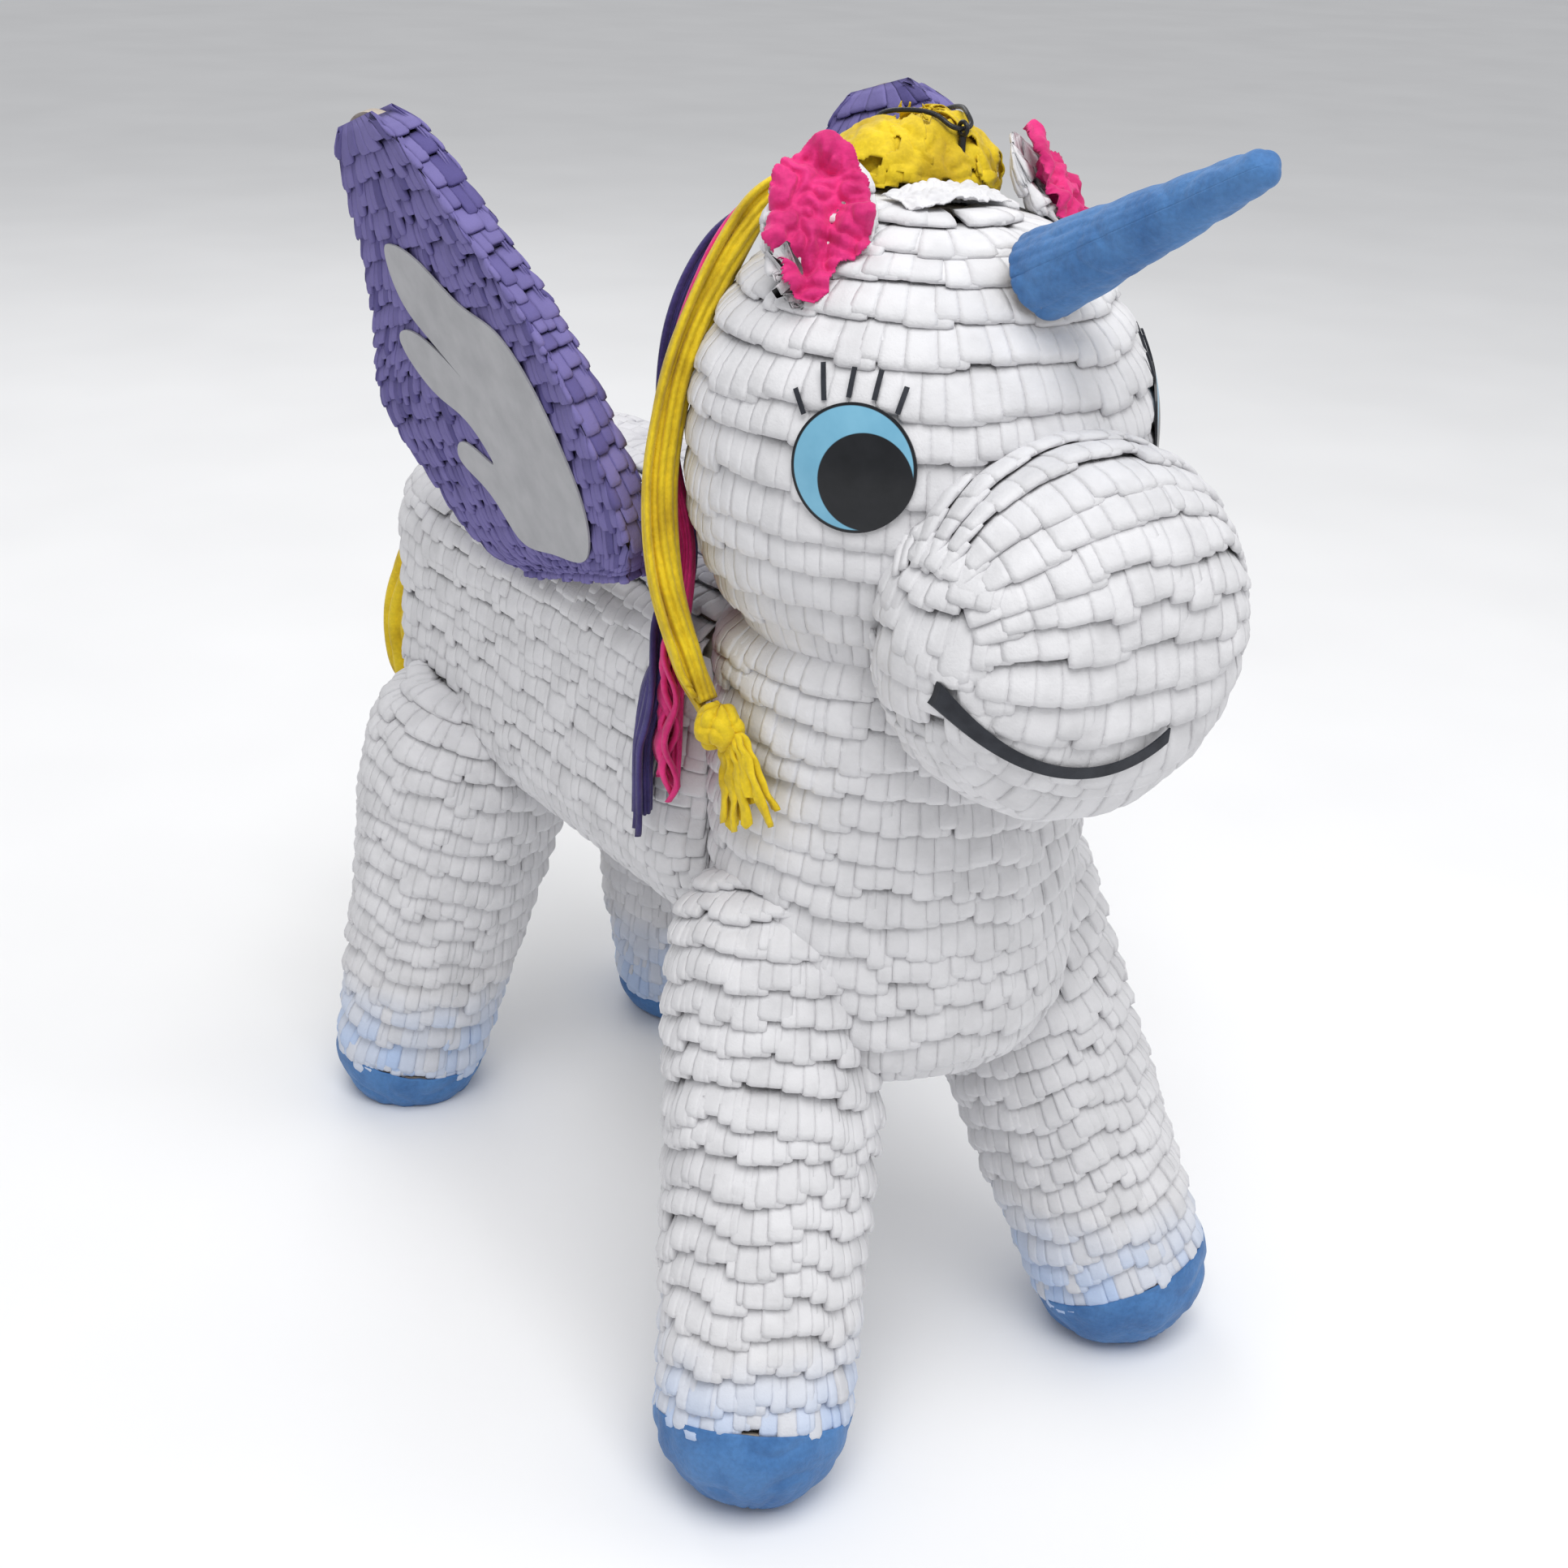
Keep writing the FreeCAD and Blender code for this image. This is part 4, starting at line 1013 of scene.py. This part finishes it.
def eye_material(name, side):
    """A glossy print: pale blue iris, black pupil towards the nose, and a dark outline."""
    material, nodes, links, surface = shader(name, 0.3, Specular_IOR_Level=0.3, Coat_Weight=0.25,
                                            Coat_Roughness=0.08)
    out = np.array([-math.sin(EYE_BEARING) * math.cos(EYE_RISE) * side,
                    -math.cos(EYE_BEARING) * math.cos(EYE_RISE), math.sin(EYE_RISE)])
    middle = np.array([0, HEAD_Y, CROWN.z - HEAD_STRETCH / 2]) + out * HEAD_RADIUS \
        + np.array([0, 0, HEAD_STRETCH / 2 * math.sin(EYE_RISE)])
    front = unit(np.array([math.cos(EYE_BEARING) * side, -math.sin(EYE_BEARING), 0]))
    above = unit(np.array([0, 0, 1]) - out * out[2])
    place = nodes.new("ShaderNodeTexCoord").outputs["Object"]

    def along(direction, shift):
        dot = nodes.new("ShaderNodeVectorMath")
        dot.operation = "DOT_PRODUCT"
        links.new(place, dot.inputs[0])
        dot.inputs[1].default_value = tuple(direction)
        return maths(nodes, links, "SUBTRACT", dot.outputs["Value"],
                     float(middle @ direction) + shift)

    def within(forward, down, radius):
        """1 inside a circle on the print and 0 outside it, with a sharp edge."""
        x, y = along(front, forward), along(above, -down)
        squares = maths(nodes, links, "ADD", maths(nodes, links, "MULTIPLY", x, x),
                        maths(nodes, links, "MULTIPLY", y, y))
        distance = maths(nodes, links, "SQRT", squares)
        return rising(nodes, links, distance, radius + 0.0002, radius - 0.0002)

    ink = ramp(nodes, links, grain(nodes, links, 90, 3), (0.35, (0.004, 0.005, 0.007)),
               (0.7, (0.009, 0.010, 0.013)))
    iris = ramp(nodes, links, grain(nodes, links, 70, 3), (0.35, (0.16, 0.40, 0.56)),
                (0.7, (0.20, 0.46, 0.62)))
    colour = mixed(nodes, links, within(0, 0, EYE_RADIUS - 0.0013), ink, iris)
    colour = mixed(nodes, links, within(PUPIL_FORWARD, PUPIL_DOWN, PUPIL_RADIUS), colour, ink)
    links.new(colour, surface.inputs["Base Color"])
    bumped(nodes, links, surface, 0.0006, (grain(nodes, links, 60, 3), 0.35))
    return material


# ------------------------------------------------------------------ plain CAD pieces
def paint(material, *names):
    for name in names:
        mesh = NODES[name].data
        mesh.materials.clear()
        mesh.materials.append(material)


def both(name):
    return [f"{name}_right", f"{name}_left"]


paint(CARD, "head_shell", "muzzle_shell", "chest_shell", "torso_shell", "horn_cone",
      *both("front_leg_shell"), *both("hind_leg_shell"), *both("front_hoof_cap"),
      *both("hind_hoof_cap"), *both("wing_card"))
paint(GREY, *both("wing_feather"))
paint(BLACK, "smile_strip", *both("eyelashes"))
paint(eye_material("eye_print_right", 1), "eye_print_right")
paint(eye_material("eye_print_left", -1), "eye_print_left")
paint(WIRE, "wire_eye", "hanging_loop", "tail_tie")
paint(DOWEL, "anchor_dowel")


# ------------------------------------------------------------------ floor, light and camera
def build_stage():
    floor_material, nodes, links, surface = shader("floor_paper", 0.9, Specular_IOR_Level=0.1)
    links.new(ramp(nodes, links, grain(nodes, links, 3, 2), (0.3, (0.86, 0.86, 0.865)),
                   (0.7, (0.90, 0.90, 0.905))), surface.inputs["Base Color"])
    half = 12.0
    mesh = bpy.data.meshes.new("floor")
    mesh.from_pydata([(-half, -half, 0), (half, -half, 0), (half, half, 0), (-half, half, 0)], [],
                     [(0, 1, 2, 3)])
    mesh.materials.append(floor_material)
    floor = bpy.data.objects.new("floor", mesh)
    bpy.context.scene.collection.objects.link(floor)
    world = bpy.data.worlds.new("studio")
    world.use_nodes = True
    world.node_tree.nodes["Background"].inputs["Color"].default_value = (0.97, 0.98, 1.0, 1)
    world.node_tree.nodes["Background"].inputs["Strength"].default_value = 0.55
    bpy.context.scene.world = world
    bpy.context.scene.view_settings.view_transform = "Standard"
    for name, place, size, power in (("key", (-0.5, -1.1, 2.6), 1.8, 50),
                                     ("fill", (1.9, -1.0, 1.8), 1.8, 9),
                                     ("rim", (0.4, 2.0, 2.2), 1.6, 16)):
        light = bpy.data.lights.new(name, "AREA")
        light.size, light.energy = size, power
        lamp = bpy.data.objects.new(name, light)
        lamp.location = place
        lamp.rotation_mode = "QUATERNION"
        lamp.rotation_quaternion = (Vector((0, 0, 0.3)) - lamp.location).to_track_quat("-Z", "Y")
        bpy.context.scene.collection.objects.link(lamp)


def build_camera():
    """Stands at the photograph's angle: 35 degrees round to the right, 24 degrees up."""
    turn, tip, roll = (math.radians(angle) for angle in (35.0, 24.3, 2.1))
    forward = Vector((math.sin(turn) * math.cos(tip), math.cos(turn) * math.cos(tip),
                      -math.sin(tip)))
    right = Vector((math.cos(turn), -math.sin(turn), 0))
    up = right.cross(forward)
    side = right * math.cos(roll) + up * math.sin(roll)
    top = up * math.cos(roll) - right * math.sin(roll)
    data = bpy.data.cameras.new("camera")
    data.sensor_width, data.lens = 36, 51.0
    data.clip_start, data.clip_end = 0.05, 50
    camera = bpy.data.objects.new("camera", data)
    camera.matrix_world = Matrix((
        (side.x, top.x, -forward.x, -0.600), (side.y, top.y, -forward.y, -0.924),
        (side.z, top.z, -forward.z, 0.751), (0, 0, 0, 1)))
    bpy.context.scene.collection.objects.link(camera)
    bpy.context.scene.camera = camera


build_stage()
build_camera()
